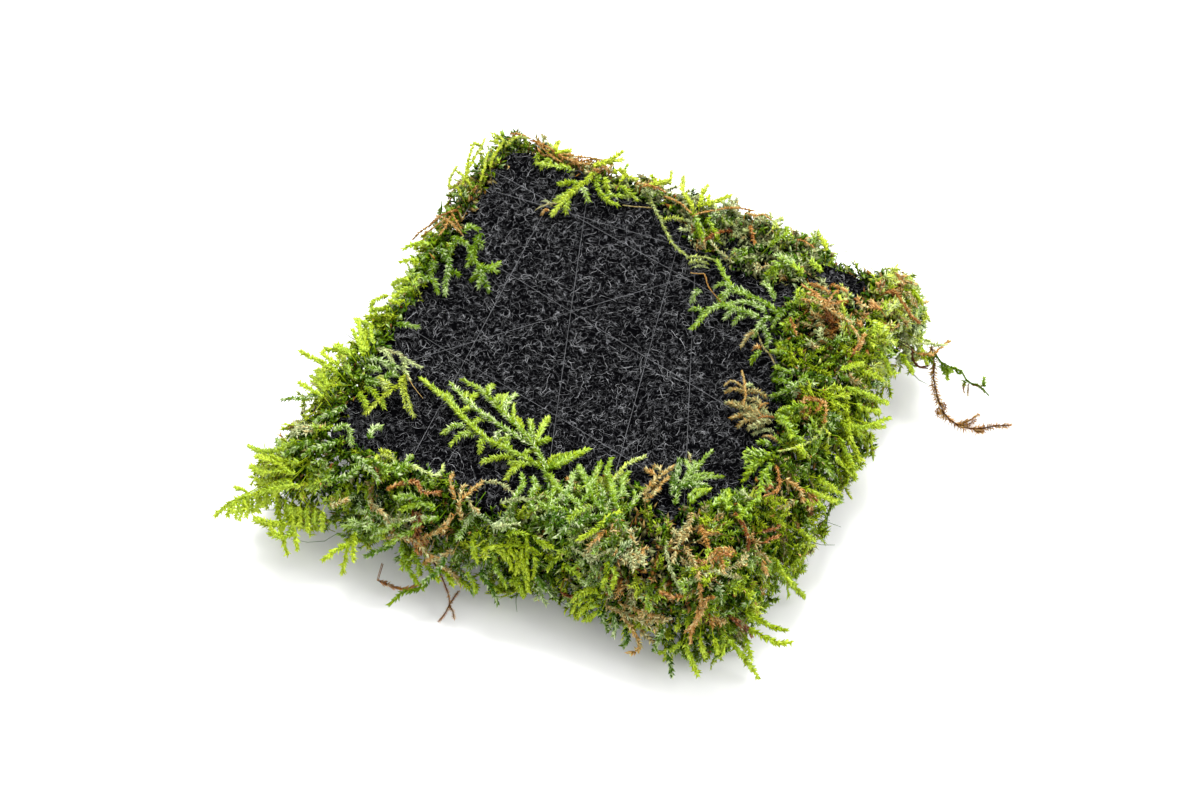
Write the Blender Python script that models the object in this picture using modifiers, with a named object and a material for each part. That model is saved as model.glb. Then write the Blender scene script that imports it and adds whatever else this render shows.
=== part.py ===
"""A pad of aquarium moss: a square of filter felt that lies moss side down, with its bare face up.

Units are metres, +Z is up, and the origin is the middle of the flat patch of moss that the pad lies on.
The felt's sides run along X and Y. Seen from the front, -Y is the near side and -X is the left.
"""
import math

import bmesh
import bpy
import numpy as np

MM = 0.001

# Felt
FELT_SIDE = 80 * MM
FELT_THICK = 4 * MM
FELT_FACE_Z = 21 * MM
FELT_EDGE_ROUND = 0.8 * MM
HALF = FELT_SIDE / 2
FELT_UNDER_Z = FELT_FACE_Z - FELT_THICK

# Thread
THREAD_ACROSS = 0.14 * MM
THREAD_LIFT = 0.4 * MM
THREAD_LAYER = 0.2 * MM

# Moss
GAP = 0.3 * MM
MOSS_CLEAR = 1.6 * MM
TUCK = 3.7 * MM
BED_FOOT_ROUND = 3 * MM

LIP_Z = FELT_FACE_Z + MOSS_CLEAR
UNDER_LIP_Z = FELT_UNDER_Z - MOSS_CLEAR


def finish_of(name, color, roughness):
    material = bpy.data.materials.new(name)
    material.use_nodes = True
    shader = material.node_tree.nodes["Principled BSDF"]
    shader.inputs["Base Color"].default_value = (*color, 1)
    shader.inputs["Roughness"].default_value = roughness
    shader.inputs["Metallic"].default_value = 0
    return material


def add_object(name, data, material):
    data.materials.append(material)
    obj = bpy.data.objects.new(name, data)
    pad.objects.link(obj)
    return obj


def mesh_of(name, shape):
    bmesh.ops.recalc_face_normals(shape, faces=shape.faces)
    mesh = bpy.data.meshes.new(name)
    shape.to_mesh(mesh)
    shape.free()
    return mesh


def block(name, size, centre, material, edge_round, round_steps):
    """A cube scaled in its mesh, with its edges rounded by a Bevel."""
    shape = bmesh.new()
    bmesh.ops.create_cube(shape, size=1)
    bmesh.ops.scale(shape, vec=size, verts=shape.verts)
    obj = add_object(name, mesh_of(name, shape), material)
    obj.location = centre
    bevel = obj.modifiers.new("Rounded edges", "BEVEL")
    bevel.width = edge_round
    bevel.segments = round_steps
    return obj


def loft(name, sections, material):
    """A closed solid through closed sections that all have the same number of points."""
    shape = bmesh.new()
    rows = [[shape.verts.new(point) for point in section] for section in sections]
    for row, following in zip(rows, rows[1:]):
        for i, corner in enumerate(row):
            before = i - 1
            shape.faces.new((row[before], corner, following[i], following[before]))
    shape.faces.new(rows[0])
    shape.faces.new(rows[-1])
    return add_object(name, mesh_of(name, shape), material)


# The collection, and one finish for each kind of sub-part
for leftover in list(bpy.data.objects):
    bpy.data.objects.remove(leftover)
pad = bpy.data.collections.new("Moss pad")
bpy.context.scene.collection.children.link(pad)

felt_finish = finish_of("Black filter felt", (0.012, 0.012, 0.014), 0.9)
thread_finish = finish_of("Dark nylon thread", (0.05, 0.05, 0.055), 0.35)
moss_finish = finish_of("Green moss", (0.12, 0.26, 0.03), 0.5)
pale_finish = finish_of("Pale green shoots", (0.27, 0.45, 0.09), 0.5)
dead_finish = finish_of("Dead brown shoots", (0.3, 0.17, 0.07), 0.7)


# Felt: a square cut from a sheet
block(
    "felt_pad",
    (FELT_SIDE, FELT_SIDE, FELT_THICK),
    (0, 0, FELT_FACE_Z - FELT_THICK / 2),
    felt_finish,
    FELT_EDGE_ROUND,
    2,
)


# Thread: straight runs over the face and back under the felt, each laid over those before it.
# A run is given by where it meets the felt's edges, in millimetres.
FACE_RUNS = [
    ((-40, 13.5), (40, -2.8)),
    ((-40, -8.6), (40, -23.6)),
    ((-40, 26.9), (40, 34.3)),
    ((-40, 31.8), (40, 18.6)),
    ((-22.1, 40), (6.2, -40)),
    ((-26.4, 40), (-22, -40)),
    ((-1.2, 40), (17.2, -40)),
    ((0.8, 40), (34.6, -40)),
    ((-40, -23.6), (20.5, 40)),
]


def crosses(run, other):
    """Whether two straight runs cross, by the side of each on which the other's ends lie."""

    def side(line, point):
        (ax, ay), (bx, by) = line
        return (bx - ax) * (point[1] - ay) - (by - ay) * (point[0] - ax)

    return (
        side(run, other[0]) * side(run, other[1]) < 0
        and side(other, run[0]) * side(other, run[1]) < 0
    )


def layers_of(runs):
    """Each run's layer: one above the highest earlier run that it crosses."""
    layers = []
    for i, run in enumerate(runs):
        below = [layers[j] for j in range(i) if crosses(run, runs[j])]
        layers.append(max(below, default=-1) + 1)
    return layers


def at_edge(point, out):
    """A point on the felt's edge, moved outwards from that edge by a distance."""
    x, y = point[0] * MM, point[1] * MM
    if abs(x) >= HALF - 1e-9:
        return math.copysign(HALF + out, x), y
    return x, math.copysign(HALF + out, y)


def thread_route():
    """The wound thread's points: over the face, round an edge, back under, round an edge, and on."""
    back_runs = [(run[1], after[0]) for run, after in zip(FACE_RUNS, FACE_RUNS[1:])]
    face_layers = layers_of(FACE_RUNS)
    back_layers = layers_of(back_runs)
    route = []
    for i, (start, end) in enumerate(FACE_RUNS):
        face_z = FELT_FACE_Z + THREAD_LIFT + face_layers[i] * THREAD_LAYER
        for point in (start, end):
            over = (*at_edge(point, -THREAD_LIFT), face_z)
            beside = (*at_edge(point, THREAD_LIFT), FELT_FACE_Z - THREAD_LIFT)
            route += [beside, over] if point is start else [over, beside]
        if i < len(back_runs):
            under_z = FELT_UNDER_Z - THREAD_LIFT - back_layers[i] * THREAD_LAYER
            for point in back_runs[i]:
                beside = (*at_edge(point, THREAD_LIFT), FELT_UNDER_Z + THREAD_LIFT)
                under = (*at_edge(point, -THREAD_LIFT), under_z)
                route += [beside, under] if point is back_runs[i][0] else [under, beside]
    return route


def wire(name, route, across, material):
    curve = bpy.data.curves.new(name, "CURVE")
    curve.dimensions = "3D"
    curve.bevel_depth = across / 2
    curve.bevel_resolution = 1
    curve.use_fill_caps = True
    line = curve.splines.new("POLY")
    line.points.add(len(route) - 1)
    line.points.foreach_set("co", [value for point in route for value in (*point, 1)])
    return add_object(name, curve, material)


wire("tie_thread", thread_route(), THREAD_ACROSS, thread_finish)


# Moss bed: the layer that grew on the felt's other face, pressed flat where the pad lies
BED_HALF = HALF - TUCK - GAP
block(
    "moss_bed",
    (2 * BED_HALF, 2 * BED_HALF, UNDER_LIP_Z),
    (0, 0, UNDER_LIP_Z / 2),
    moss_finish,
    BED_FOOT_ROUND,
    2,
)


def rim_section(over, reach, crest, foot):
    """The outline of moss wrapped round the rim, as (out from the felt's edge, height) pairs.

    over is how far it lies over the face, reach how far it stands out, crest its height above its
    lip, and foot how far its lowest shoots are from the ground.
    """
    return [
        (-over, LIP_Z),
        (-0.85 * over, LIP_Z + 0.6 * crest),
        (-0.4 * over, LIP_Z + crest),
        (0.3 * reach, LIP_Z + 0.7 * crest),
        (0.75 * reach, FELT_FACE_Z - 2 * MM),
        (reach, 0.5 * FELT_FACE_Z + 0.4 * foot),
        (0.8 * reach, foot + 3.5 * MM),
        (0.4 * reach, foot),
        (-TUCK, foot),
        (-TUCK, UNDER_LIP_Z),
        (MOSS_CLEAR, UNDER_LIP_Z),
        (MOSS_CLEAR, LIP_Z),
    ]


# Fringes: (place along the edge, over, reach, crest, foot) in millimetres at each station,
# counted along +X or +Y
FRINGES = {
    "front": [
        (-33.7, 1.2, 12, 2, 3),
        (-26, 1.5, 11.5, 2, 3),
        (-18, 1.5, 10, 2.5, 3),
        (-10, 1.5, 9, 2.5, 3),
        (-3, 2, 8.5, 3, 2),
        (2, 7, 7.5, 3.5, 1),
        (7, 13, 6.5, 4.5, 0.5),
        (13, 17, 5.5, 5, 0.5),
        (19, 16, 5.5, 5, 0.5),
        (25.7, 13, 6, 5, 0.5),
    ],
    "right": [
        (-25.7, 13, 9, 5, 0.5),
        (-21, 7, 10, 5, 0.5),
        (-16, 3, 11, 4.5, 0.5),
        (-9, 2, 12, 4.5, 0.5),
        (-3, 3, 12, 4.5, 1),
        (3, 5.5, 12, 5, 1),
        (9, 8.5, 12, 5.5, 1),
        (15, 11, 11, 6, 1),
        (20, 13, 10, 6, 2),
        (26, 14.5, 10, 5.5, 2),
        (30, 14, 11, 4.5, 3),
        (33.7, 11.5, 12, 3, 3),
    ],
    "back": [
        (-33.7, 1.2, 6, 0.8, 4),
        (-24, 1.2, 6, 0.8, 4),
        (-16, 2.5, 6, 1.2, 4),
        (-8, 1.8, 6, 1.2, 4),
        (-2, 2.5, 6.5, 1.8, 3),
        (4, 8, 7.5, 2.8, 2),
        (10, 9.5, 8.5, 3.5, 2),
        (16, 9.5, 8.5, 3.5, 2),
        (21, 9.5, 8.5, 3.5, 2),
        (25, 8.5, 8, 3, 2),
        (27, 5.5, 7.5, 2.5, 2),
        (30, 2, 7, 1.2, 3),
        (33.7, 1, 6.5, 0.8, 3),
    ],
    "left": [
        (-33.7, 1, 10, 2, 4),
        (-26, 1.2, 10.5, 2, 3),
        (-18, 2, 10, 2, 3),
        (-10, 1.2, 8, 1.5, 3),
        (-2, 1, 6.5, 1.2, 4),
        (6, 1.5, 6.5, 1.2, 4),
        (14, 2, 7.5, 1.5, 4),
        (22, 1.2, 8, 1.5, 4),
        (33.7, 1.2, 7.5, 1.2, 4),
    ],
}


def rim_point(side, along, out, z):
    """A point beside one of the felt's edges, in the pad's frame."""
    x, y = {
        "front": (along, -HALF - out),
        "right": (HALF + out, along),
        "back": (along, HALF + out),
        "left": (-HALF - out, along),
    }[side]
    return x, y, z


for side, stations in FRINGES.items():
    sections = [
        [
            rim_point(side, along * MM, out, z)
            for out, z in rim_section(*(np.array(shape) * MM))
        ]
        for along, *shape in stations
    ]
    loft("fringe_" + side, sections, moss_finish)


# Corner tufts: the same outline turned about a point inside the corner, from one edge to the next.
# Each has its corner, how far in that point lies, and (over, reach, crest, foot) at even angles, all
# in millimetres
TUFTS = {
    "front_left": (
        (-1, -1),
        6,
        [(1, 10, 2, 4), (1, 13, 2, 3), (1.2, 15, 2.5, 3), (1.2, 14, 2, 3), (1.2, 12, 2, 3)],
    ),
    "front_right": (
        (1, -1),
        14,
        [(13, 9, 5, 0.5), (12, 9.5, 5.5, 0), (12, 6.5, 6, 0), (12, 5.5, 5.5, 0), (13, 6, 5, 0.5)],
    ),
    "back_right": (
        (1, 1),
        6,
        [(3, 12, 3, 3), (1.5, 12.5, 2.5, 4), (1, 9.5, 2, 4), (1, 7, 1.2, 4), (1, 6.5, 0.8, 3)],
    ),
    "back_left": (
        (-1, 1),
        6,
        [(1.2, 6, 0.8, 4), (1.2, 6, 1, 5), (1.2, 6.5, 1, 5), (1.2, 7, 1.2, 5), (1.2, 7.5, 1.2, 4)],
    ),
}


def tuft_sections(corner, depth, shapes):
    """Sections at 0 to 90 degrees from the side along X's normal to the side along Y's."""
    middle = HALF - depth
    for angle, shape in zip(np.linspace(0, math.pi / 2, len(shapes)), shapes):
        toward = np.array([math.cos(angle), math.sin(angle)])
        to_edge = depth / toward.max()
        clear = 1 / toward.max()
        section = []
        for out, z in rim_section(*(np.array(shape) * MM)):
            away = to_edge + (out * clear if out in (MOSS_CLEAR, -TUCK) else out)
            place = (middle + away * toward) * corner
            section.append((*place, z))
        yield section


for place, (corner, depth, shapes) in TUFTS.items():
    loft("tuft_" + place, list(tuft_sections(corner, depth * MM, shapes)), moss_finish)


# Sprigs that lie over the felt: a flat outline as wide as the shoot, in millimetres
SPRIG_Z = LIP_Z + 1.2 * MM
SPRIG_THICK = 2.4 * MM
SPRIGS = {
    "frond_pale": (
        [(3, -21), (3.5, -27), (-3, -33.5), (-10, -31.5), (-19, -30.5), (-20.5, -26.5),
         (-29.8, -20.5), (-29, -18.8), (-21.5, -14.8), (-10.5, -14.8), (-3, -17)],
        pale_finish,
    ),
    "sprig_fern": (
        [(20, -23.3), (22, -14.5), (26, -9.8), (28.5, -9.8), (31.5, -14.5), (28.5, -23.5)],
        moss_finish,
    ),
    "sprig_right": (
        [(25.5, 20.5), (26.5, 13), (16, 11), (10.5, 12.5), (9, 17), (6, 24.5), (10, 29.5),
         (14, 29.5), (20, 25)],
        moss_finish,
    ),
    "sprig_back_long": (
        [(-9.5, 37.6), (-7, 33.5), (0.5, 28.6), (3, 29.3), (1, 33.5), (-4, 37.3)],
        moss_finish,
    ),
    "sprig_back_top": (
        [(-12, 37), (-12, 34.5), (-19, 33.5), (-21.5, 25.5), (-28.5, 25), (-28, 31), (-33.5, 35.5),
         (-33.5, 37.3)],
        pale_finish,
    ),
    "sprig_left_upper": (
        [(-37.5, 15), (-34, 17.5), (-31, 16.5), (-25.5, 11), (-25.5, 2), (-33, -2), (-37.5, 0)],
        moss_finish,
    ),
    "sprig_left_lower": (
        [(-37.5, -13), (-34, -15), (-31.5, -21.5), (-26.5, -27), (-28, -29), (-35, -33),
         (-37.5, -29)],
        moss_finish,
    ),
    "dead_tuft": (
        [(26, 8.5), (23, 6.5), (24, 0), (30.5, -5), (36, -5), (36, -2), (33, 1), (31, 5)],
        dead_finish,
    ),
}


def flat_sprig(name, outline, material):
    curve = bpy.data.curves.new(name, "CURVE")
    curve.dimensions = "2D"
    curve.fill_mode = "BOTH"
    curve.extrude = SPRIG_THICK / 2
    edge = curve.splines.new("POLY")
    edge.points.add(len(outline) - 1)
    points = np.array([(x, y, 0, 1 / MM) for x, y in outline]) * MM
    edge.points.foreach_set("co", points.ravel())
    edge.use_cyclic_u = True
    obj = add_object(name, curve, material)
    obj.location = (0, 0, SPRIG_Z)
    return obj


for name, (outline, material) in SPRIGS.items():
    flat_sprig(name, outline, material)


# Loose shoots that hang from the rim: (x, y, z, thickness) in millimetres along each
TRAILERS = {
    "dead_trailer": (
        [(53, 33.6, 12.8, 2), (54.8, 32.7, 11, 3.2), (56.8, 29.5, 8, 3.6), (59.4, 27.6, 5, 4),
         (62.9, 27.6, 3.2, 4), (66.4, 29.3, 2.6, 4), (71.2, 32.5, 2, 2)],
        dead_finish,
    ),
    "green_trailer": (
        [(54.6, 36, 13.4, 2), (57.3, 34.8, 12.2, 3), (59.4, 34.8, 10.8, 3), (61.3, 33.5, 9.8, 3),
         (65.7, 33.5, 8, 2)],
        pale_finish,
    ),
    "dead_twig": (
        [(-10.2, -50.3, 9.4, 1.6), (-8.6, -50.6, 7.5, 2.6), (-7.2, -51.6, 5.5, 3),
         (-6.7, -53.2, 3.8, 3), (-6.9, -54.8, 2.5, 2)],
        dead_finish,
    ),
}


def tapered_shoot(name, stations, material):
    curve = bpy.data.curves.new(name, "CURVE")
    curve.dimensions = "3D"
    curve.bevel_depth = MM / 2
    curve.bevel_resolution = 2
    curve.use_fill_caps = True
    line = curve.splines.new("POLY")
    line.points.add(len(stations) - 1)
    for point, (x, y, z, across) in zip(line.points, stations):
        point.co = (x * MM, y * MM, z * MM, 1)
        point.radius = across
    return add_object(name, curve, material)


for name, (stations, material) in TRAILERS.items():
    tapered_shoot(name, stations, material)
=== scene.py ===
"""The look of a moss pad: a square of black filter felt, face up, with feather moss round its rims."""

import bpy
import numpy as np
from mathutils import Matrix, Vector
from mathutils.bvhtree import BVHTree


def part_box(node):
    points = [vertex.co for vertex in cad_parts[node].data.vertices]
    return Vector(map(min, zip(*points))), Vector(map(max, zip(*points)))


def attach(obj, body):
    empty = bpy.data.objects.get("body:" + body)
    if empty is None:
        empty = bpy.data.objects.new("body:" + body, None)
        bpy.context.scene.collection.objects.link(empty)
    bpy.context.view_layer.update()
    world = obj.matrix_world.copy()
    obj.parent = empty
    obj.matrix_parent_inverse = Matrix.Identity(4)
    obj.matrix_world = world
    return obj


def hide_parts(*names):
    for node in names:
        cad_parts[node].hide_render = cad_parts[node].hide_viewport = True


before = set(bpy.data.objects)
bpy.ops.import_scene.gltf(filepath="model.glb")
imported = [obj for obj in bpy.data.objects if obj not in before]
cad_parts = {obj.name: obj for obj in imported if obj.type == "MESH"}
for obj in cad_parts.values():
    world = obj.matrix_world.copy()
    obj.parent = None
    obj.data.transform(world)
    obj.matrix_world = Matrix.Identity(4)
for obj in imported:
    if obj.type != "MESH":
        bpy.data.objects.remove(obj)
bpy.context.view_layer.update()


# Felt
# The pad is a square cut from a sheet of coarse black polyester filter fibre. It is matted, not
# woven, so its face waves a little, its cut edges are soft and its surface is full of small pits.
MM = 0.001
felt_low, felt_high = (np.array(corner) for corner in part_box("felt_pad"))
FELT_HALF = felt_high[0]
FELT_FACE = felt_high[2]
FELT_THICK = FELT_FACE - felt_low[2]
FELT_SQUARENESS = 18
FELT_EDGE_ROUND = 0.9 * MM
FELT_EDGE_BLUNTNESS = 0.6
FELT_WAVE = 0.22 * MM
WAVE_ALONG_X, WAVE_ALONG_Y, WAVE_SLANT = 8 * MM, 7 * MM, 11 * MM
RING_CORNERS = 160
FACE_RINGS = 17
EDGE_RINGS = 12
# The two nets of fine fibre lines in the felt's pattern, painted as grey sheen and raised as bump: how
# close, how thick, and where the noise is taken
FIBRE_NETS = [(560, 0.022, 1.0), (850, 0.026, 2.3)]


def unit(vectors):
    """Each row divided by its own length."""
    return vectors / np.maximum(np.linalg.norm(vectors, axis=-1, keepdims=True), 1e-12)


def face_wave(x, y):
    """The felt's gentle rise and fall: a chequer of sine waves and one slanting wave, about 50 mm long."""
    chequer = np.sin(x / WAVE_ALONG_X) * np.cos(y / WAVE_ALONG_Y + 1)
    return FELT_WAVE * (chequer + np.sin((x - y) / WAVE_SLANT))


def felt_slab():
    """Rings from the middle of the face out, round the edge and back to the middle underneath.

    Each ring is a square with rounded corners, x^18 + y^18 = r^18. The edge is half a turn of a
    flattened circle, and the face and the underside are the flat rings that run in to the poles.
    """
    turn = np.linspace(0, 2 * np.pi, RING_CORNERS, endpoint=False)
    square = np.stack([np.cos(turn), np.sin(turn)], -1)
    square /= np.sum(np.abs(square) ** FELT_SQUARENESS, -1, keepdims=True) ** (1 / FELT_SQUARENESS)
    flat = np.linspace(0, 1, FACE_RINGS)[1:]
    edge = np.linspace(0, np.pi, EDGE_RINGS)[1:-1]
    inner = FELT_HALF - FELT_EDGE_ROUND
    out = np.concatenate([
        flat * inner,
        inner + FELT_EDGE_ROUND * np.sin(edge) ** FELT_EDGE_BLUNTNESS,
        flat[::-1] * inner,
    ])
    height = np.concatenate([
        np.full(len(flat), FELT_FACE),
        FELT_FACE - FELT_THICK * (1 - np.cos(edge)) / 2,
        np.full(len(flat), FELT_FACE - FELT_THICK),
    ])
    rings = np.empty((len(out), len(turn), 3))
    rings[..., :2] = out[:, None, None] * square
    rings[..., 2] = height[:, None] + face_wave(rings[..., 0], rings[..., 1])
    middle = face_wave(0, 0)
    poles = np.array([[0, 0, FELT_FACE + middle], [0, 0, FELT_FACE - FELT_THICK + middle]])
    corners = np.concatenate([rings.reshape(-1, 3), poles])

    index = np.arange(rings.shape[0] * rings.shape[1]).reshape(rings.shape[:2])
    beside = np.roll(index, -1, axis=1)
    walls = np.stack([index[:-1], index[1:], beside[1:], beside[:-1]], -1).reshape(-1, 4)
    top, bottom = len(corners) - 2, len(corners) - 1
    cap = np.stack([np.full(len(turn), top), index[0], beside[0]], -1)
    base = np.stack([beside[-1], index[-1], np.full(len(turn), bottom)], -1)
    faces = np.concatenate([walls[:, :3], walls[:, [0, 2, 3]], cap, base])
    return corners, faces


def new_object(name, data):
    """An object of that mesh, lamp or camera in the scene."""
    thing = bpy.data.objects.new(name, data)
    bpy.context.scene.collection.objects.link(thing)
    return thing


def add_piece(name, corners, faces, material, nodes, slot, tint=None):
    """A mesh of triangles as one piece on the pad, standing for its CAD nodes.

    tint is each corner's place on its finish's colours, kept as the map that the material reads.
    """
    mesh = bpy.data.meshes.new(name)
    mesh.vertices.add(len(corners))
    mesh.vertices.foreach_set("co", corners.astype(np.float32).ravel())
    mesh.loops.add(faces.size)
    mesh.loops.foreach_set("vertex_index", faces.astype(np.int32).ravel())
    mesh.polygons.add(len(faces))
    mesh.polygons.foreach_set("loop_start", np.arange(0, faces.size, 3, dtype=np.int32))
    if tint is not None:
        chart = mesh.uv_layers.new(name="OFBake")
        chart.data.foreach_set("uv", tint[faces.ravel()].astype(np.float32).ravel())
    mesh.update(calc_edges=True)
    mesh.materials.append(material)
    piece = new_object(name, mesh)
    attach(piece, "root")
    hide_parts(*nodes)


def new_finish(name, roughness, specular):
    """A plain material as rough and as glossy as given, with its Principled BSDF."""
    material = bpy.data.materials.new(name)
    material.use_nodes = True
    shader = material.node_tree.nodes["Principled BSDF"]
    shader.inputs["Roughness"].default_value = roughness
    shader.inputs["Specular IOR Level"].default_value = specular
    return material, shader


def add_node(material, kind, inputs=(), **settings):
    """A shader node, with its settings and the (input, value or socket) pairs given."""
    node = material.node_tree.nodes.new("ShaderNode" + kind)
    for name, value in settings.items():
        setattr(node, name, value)
    for name, value in dict(inputs).items():
        if isinstance(value, bpy.types.NodeSocket):
            material.node_tree.links.new(value, node.inputs[name])
        else:
            node.inputs[name].default_value = value
    return node


def join(material, socket, target):
    """A link from one node's output to another's input."""
    material.node_tree.links.new(socket, target)


def shade(code):
    """A screen colour such as "9ABF2B" as linear red, green, blue and alpha."""
    screen = np.array([int(code[i:i + 2], 16) for i in (0, 2, 4)]) / 255
    linear = np.where(screen <= 0.04045, screen / 12.92, ((screen + 0.055) / 1.055) ** 2.4)
    return (*linear, 1)


def color_ramp(material, place, stops):
    """The colour at a place on a ramp of (place, colour) stops."""
    ramp = add_node(material, "ValToRGB", {"Fac": place})
    marks = ramp.color_ramp.elements
    while len(marks) < len(stops):
        marks.new(0.5)
    for mark, (at, color) in zip(marks, stops):
        mark.position = at
        mark.color = color
    return ramp.outputs["Color"]


def fibre_lines(material, place, scale, width, seed):
    """Thin wandering lines where a distorted noise crosses its middle value, as lying fibres do."""
    moved = add_node(material, "Mapping", {"Vector": place, "Location": (seed, 2 * seed, 0)})
    noise = add_node(material, "TexNoise", {
        "Vector": moved.outputs["Vector"], "Scale": scale, "Detail": 1.0, "Distortion": 0.8,
    })
    away = add_node(material, "Math", {0: noise.outputs["Fac"], 1: 0.5}, operation="SUBTRACT")
    apart = add_node(material, "Math", {0: away.outputs[0]}, operation="ABSOLUTE")
    line = add_node(material, "MapRange", {
        "Value": apart.outputs[0], "From Min": 0.0, "From Max": width, "To Min": 1.0, "To Max": 0.0,
    })
    return line.outputs["Result"]


def felt_finish():
    """Dull black, with painted grey sheen on thin lines of lying fibres, broken up by painted shade in the
    pits; lines and pits are also raised a little as bump.
    """
    material, shader = new_finish("Matted black felt", roughness=0.9, specular=0)
    place = add_node(material, "TexCoord").outputs["Object"]
    lines = None
    for scale, width, seed in FIBRE_NETS:
        found = fibre_lines(material, place, scale, width, seed)
        if lines is not None:
            found = add_node(material, "Math", {0: lines, 1: found}, operation="MAXIMUM").outputs[0]
        lines = found
    pits = add_node(material, "TexNoise", {"Vector": place, "Scale": 900, "Detail": 1.0})
    pit_shade = add_node(material, "MapRange", {"Value": pits.outputs["Fac"], "From Min": 0.3, "From Max": 0.7})
    # Painted light: the fibre lines' grey sheen, darkened by painted shade in the pits
    lit = add_node(material, "Math", {0: lines, 1: pit_shade.outputs["Result"]}, operation="MULTIPLY")
    color = color_ramp(material, lit.outputs[0], [(0, shade("040405")), (1, shade("707174"))])
    join(material, color, shader.inputs["Base Color"])
    relief = add_node(material, "Math", {0: lines, 1: pits.outputs["Fac"]}, operation="ADD")
    bump = add_node(material, "Bump", {"Height": relief.outputs[0], "Strength": 0.8, "Distance": 0.3 * MM})
    join(material, bump.outputs["Normal"], shader.inputs["Normal"])
    return material


add_piece("felt_slab", *felt_slab(), felt_finish(), ["felt_pad"], "felt")


# Felt fibres
# The loose top of the felt is a web of curly black fibres about 0.1 mm thick. They lie at every
# angle in the top millimetre, over and under each other, and the thin grey lines where they catch the
# light are painted sheen.
FIBRE_COUNT = 3700
EDGE_FIBRE_COUNT = 240
FIBRE_POINTS = 8
FIBRE_SIDES = 3
FIBRE_RADIUS = 0.034 * MM
FIBRE_CURL = 1.05
FIBRE_SWING = 0.9
FIBRE_ARCH = 0.22 * MM
# Ranges in millimetres: lengths, how far past the felt's edge a fibre stops, and heights on the face
FIBRE_LENGTHS = 2, 5.5
FIBRE_STOPS = -0.3, 0.5
FIBRE_HEIGHTS = 0, 0.35
EDGE_FIBRE_SIZES = 0.5, 1.6
EDGE_FIBRE_ROOT = 0.2 * MM
EDGE_FIBRE_OUT = 0.5 * MM
# The darkest fibre's grey, how much paler painted sheen makes the others, and the power that leaves
# most of them dark
DARKEST_FIBRE = 0.05
FIBRE_SHEEN = 0.88
PALER_POWER = 1.35


def tubes(paths, radii, sides):
    """Closed tubes along many paths at once, from points (count, points, 3) and radii (count, points).

    Each point gets a ring of corners square to the path, rings are joined to their neighbours, and
    each end is closed by a fan.
    """
    count, points = radii.shape
    along = unit(np.gradient(paths, axis=1))
    side = unit(np.cross(along, [0.31, 0.17, 0.93]))
    up = np.cross(along, side)
    turn = np.arange(sides) * 2 * np.pi / sides
    ring = np.cos(turn)[:, None] * side[:, :, None] + np.sin(turn)[:, None] * up[:, :, None]
    corners = paths[:, :, None] + radii[:, :, None, None] * ring
    index = np.arange(count * points * sides).reshape(count, points, sides)
    near, near_next = index[:, :-1], np.roll(index[:, :-1], -1, axis=2)
    far, far_next = index[:, 1:], np.roll(index[:, 1:], -1, axis=2)
    faces = [
        np.stack([near, near_next, far_next], -1).reshape(-1, 3),
        np.stack([near, far_next, far], -1).reshape(-1, 3),
    ]
    for i in range(1, sides - 1):
        faces.append(index[:, 0][:, [0, i + 1, i]])
        faces.append(index[:, -1][:, [0, i, i + 1]])
    return corners.reshape(-1, 3), np.concatenate(faces)


def curly_fibres(rng):
    """Curls on the felt's face: arcs whose heading also swings to and fro, with a wave in height."""
    count = FIBRE_COUNT
    t = np.linspace(0, 1, FIBRE_POINTS)
    length = rng.uniform(*FIBRE_LENGTHS, (count, 1)) * MM
    heading = rng.uniform(0, 2 * np.pi, (count, 1))
    heading = heading + t * length / MM * rng.normal(0, FIBRE_CURL, (count, 1))
    phase, swing = rng.uniform(0, 1, (count, 1)), rng.uniform(0, 1, (count, 1))
    heading += FIBRE_SWING * swing * np.sin(2 * np.pi * (1.5 * t + phase))
    step = length / (FIBRE_POINTS - 1)
    start = rng.uniform(-FELT_HALF, FELT_HALF, (count, 2, 1))
    x = start[:, 0] + np.cumsum(step * np.cos(heading), axis=1)
    y = start[:, 1] + np.cumsum(step * np.sin(heading), axis=1)
    stop = FELT_HALF + rng.uniform(*FIBRE_STOPS, (count, 1)) * MM
    x, y = np.clip(x, -stop, stop), np.clip(y, -stop, stop)
    waves, phase = rng.uniform(0.5, 1.4, (count, 1)), rng.uniform(0, 1, (count, 1))
    arch = FIBRE_ARCH * np.sin(2 * np.pi * (t * waves + phase))
    z = FELT_FACE + face_wave(x, y) + rng.uniform(*FIBRE_HEIGHTS, (count, 1)) * MM + arch
    return np.stack([x, y, z], -1)


def edge_fibres(rng):
    """Short arcs that stand out of the felt's cut edges, thrown round all four sides."""
    count = EDGE_FIBRE_COUNT
    t = np.linspace(0, 1, FIBRE_POINTS)
    swing = np.pi * t * rng.uniform(0.6, 1.6, (count, 1)) + rng.uniform(0, 2 * np.pi, (count, 1))
    size = rng.uniform(*EDGE_FIBRE_SIZES, (count, 1)) * MM
    along = rng.uniform(-FELT_HALF, FELT_HALF, (count, 1)) + size * np.cos(swing)
    height = FELT_FACE - FELT_THICK * rng.uniform(0, 1, (count, 1)) + size * 0.6 * np.sin(swing)
    out = FELT_HALF - EDGE_FIBRE_ROOT + EDGE_FIBRE_OUT * np.abs(np.sin(swing + 1))
    out, along = np.broadcast_arrays(out, along)
    quarter = rng.integers(0, 4, (count, 1))
    x = np.choose(quarter, [out, -out, along, along])
    y = np.choose(quarter, [along, along, out, -out])
    return np.stack([x, y, height], -1)


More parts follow.
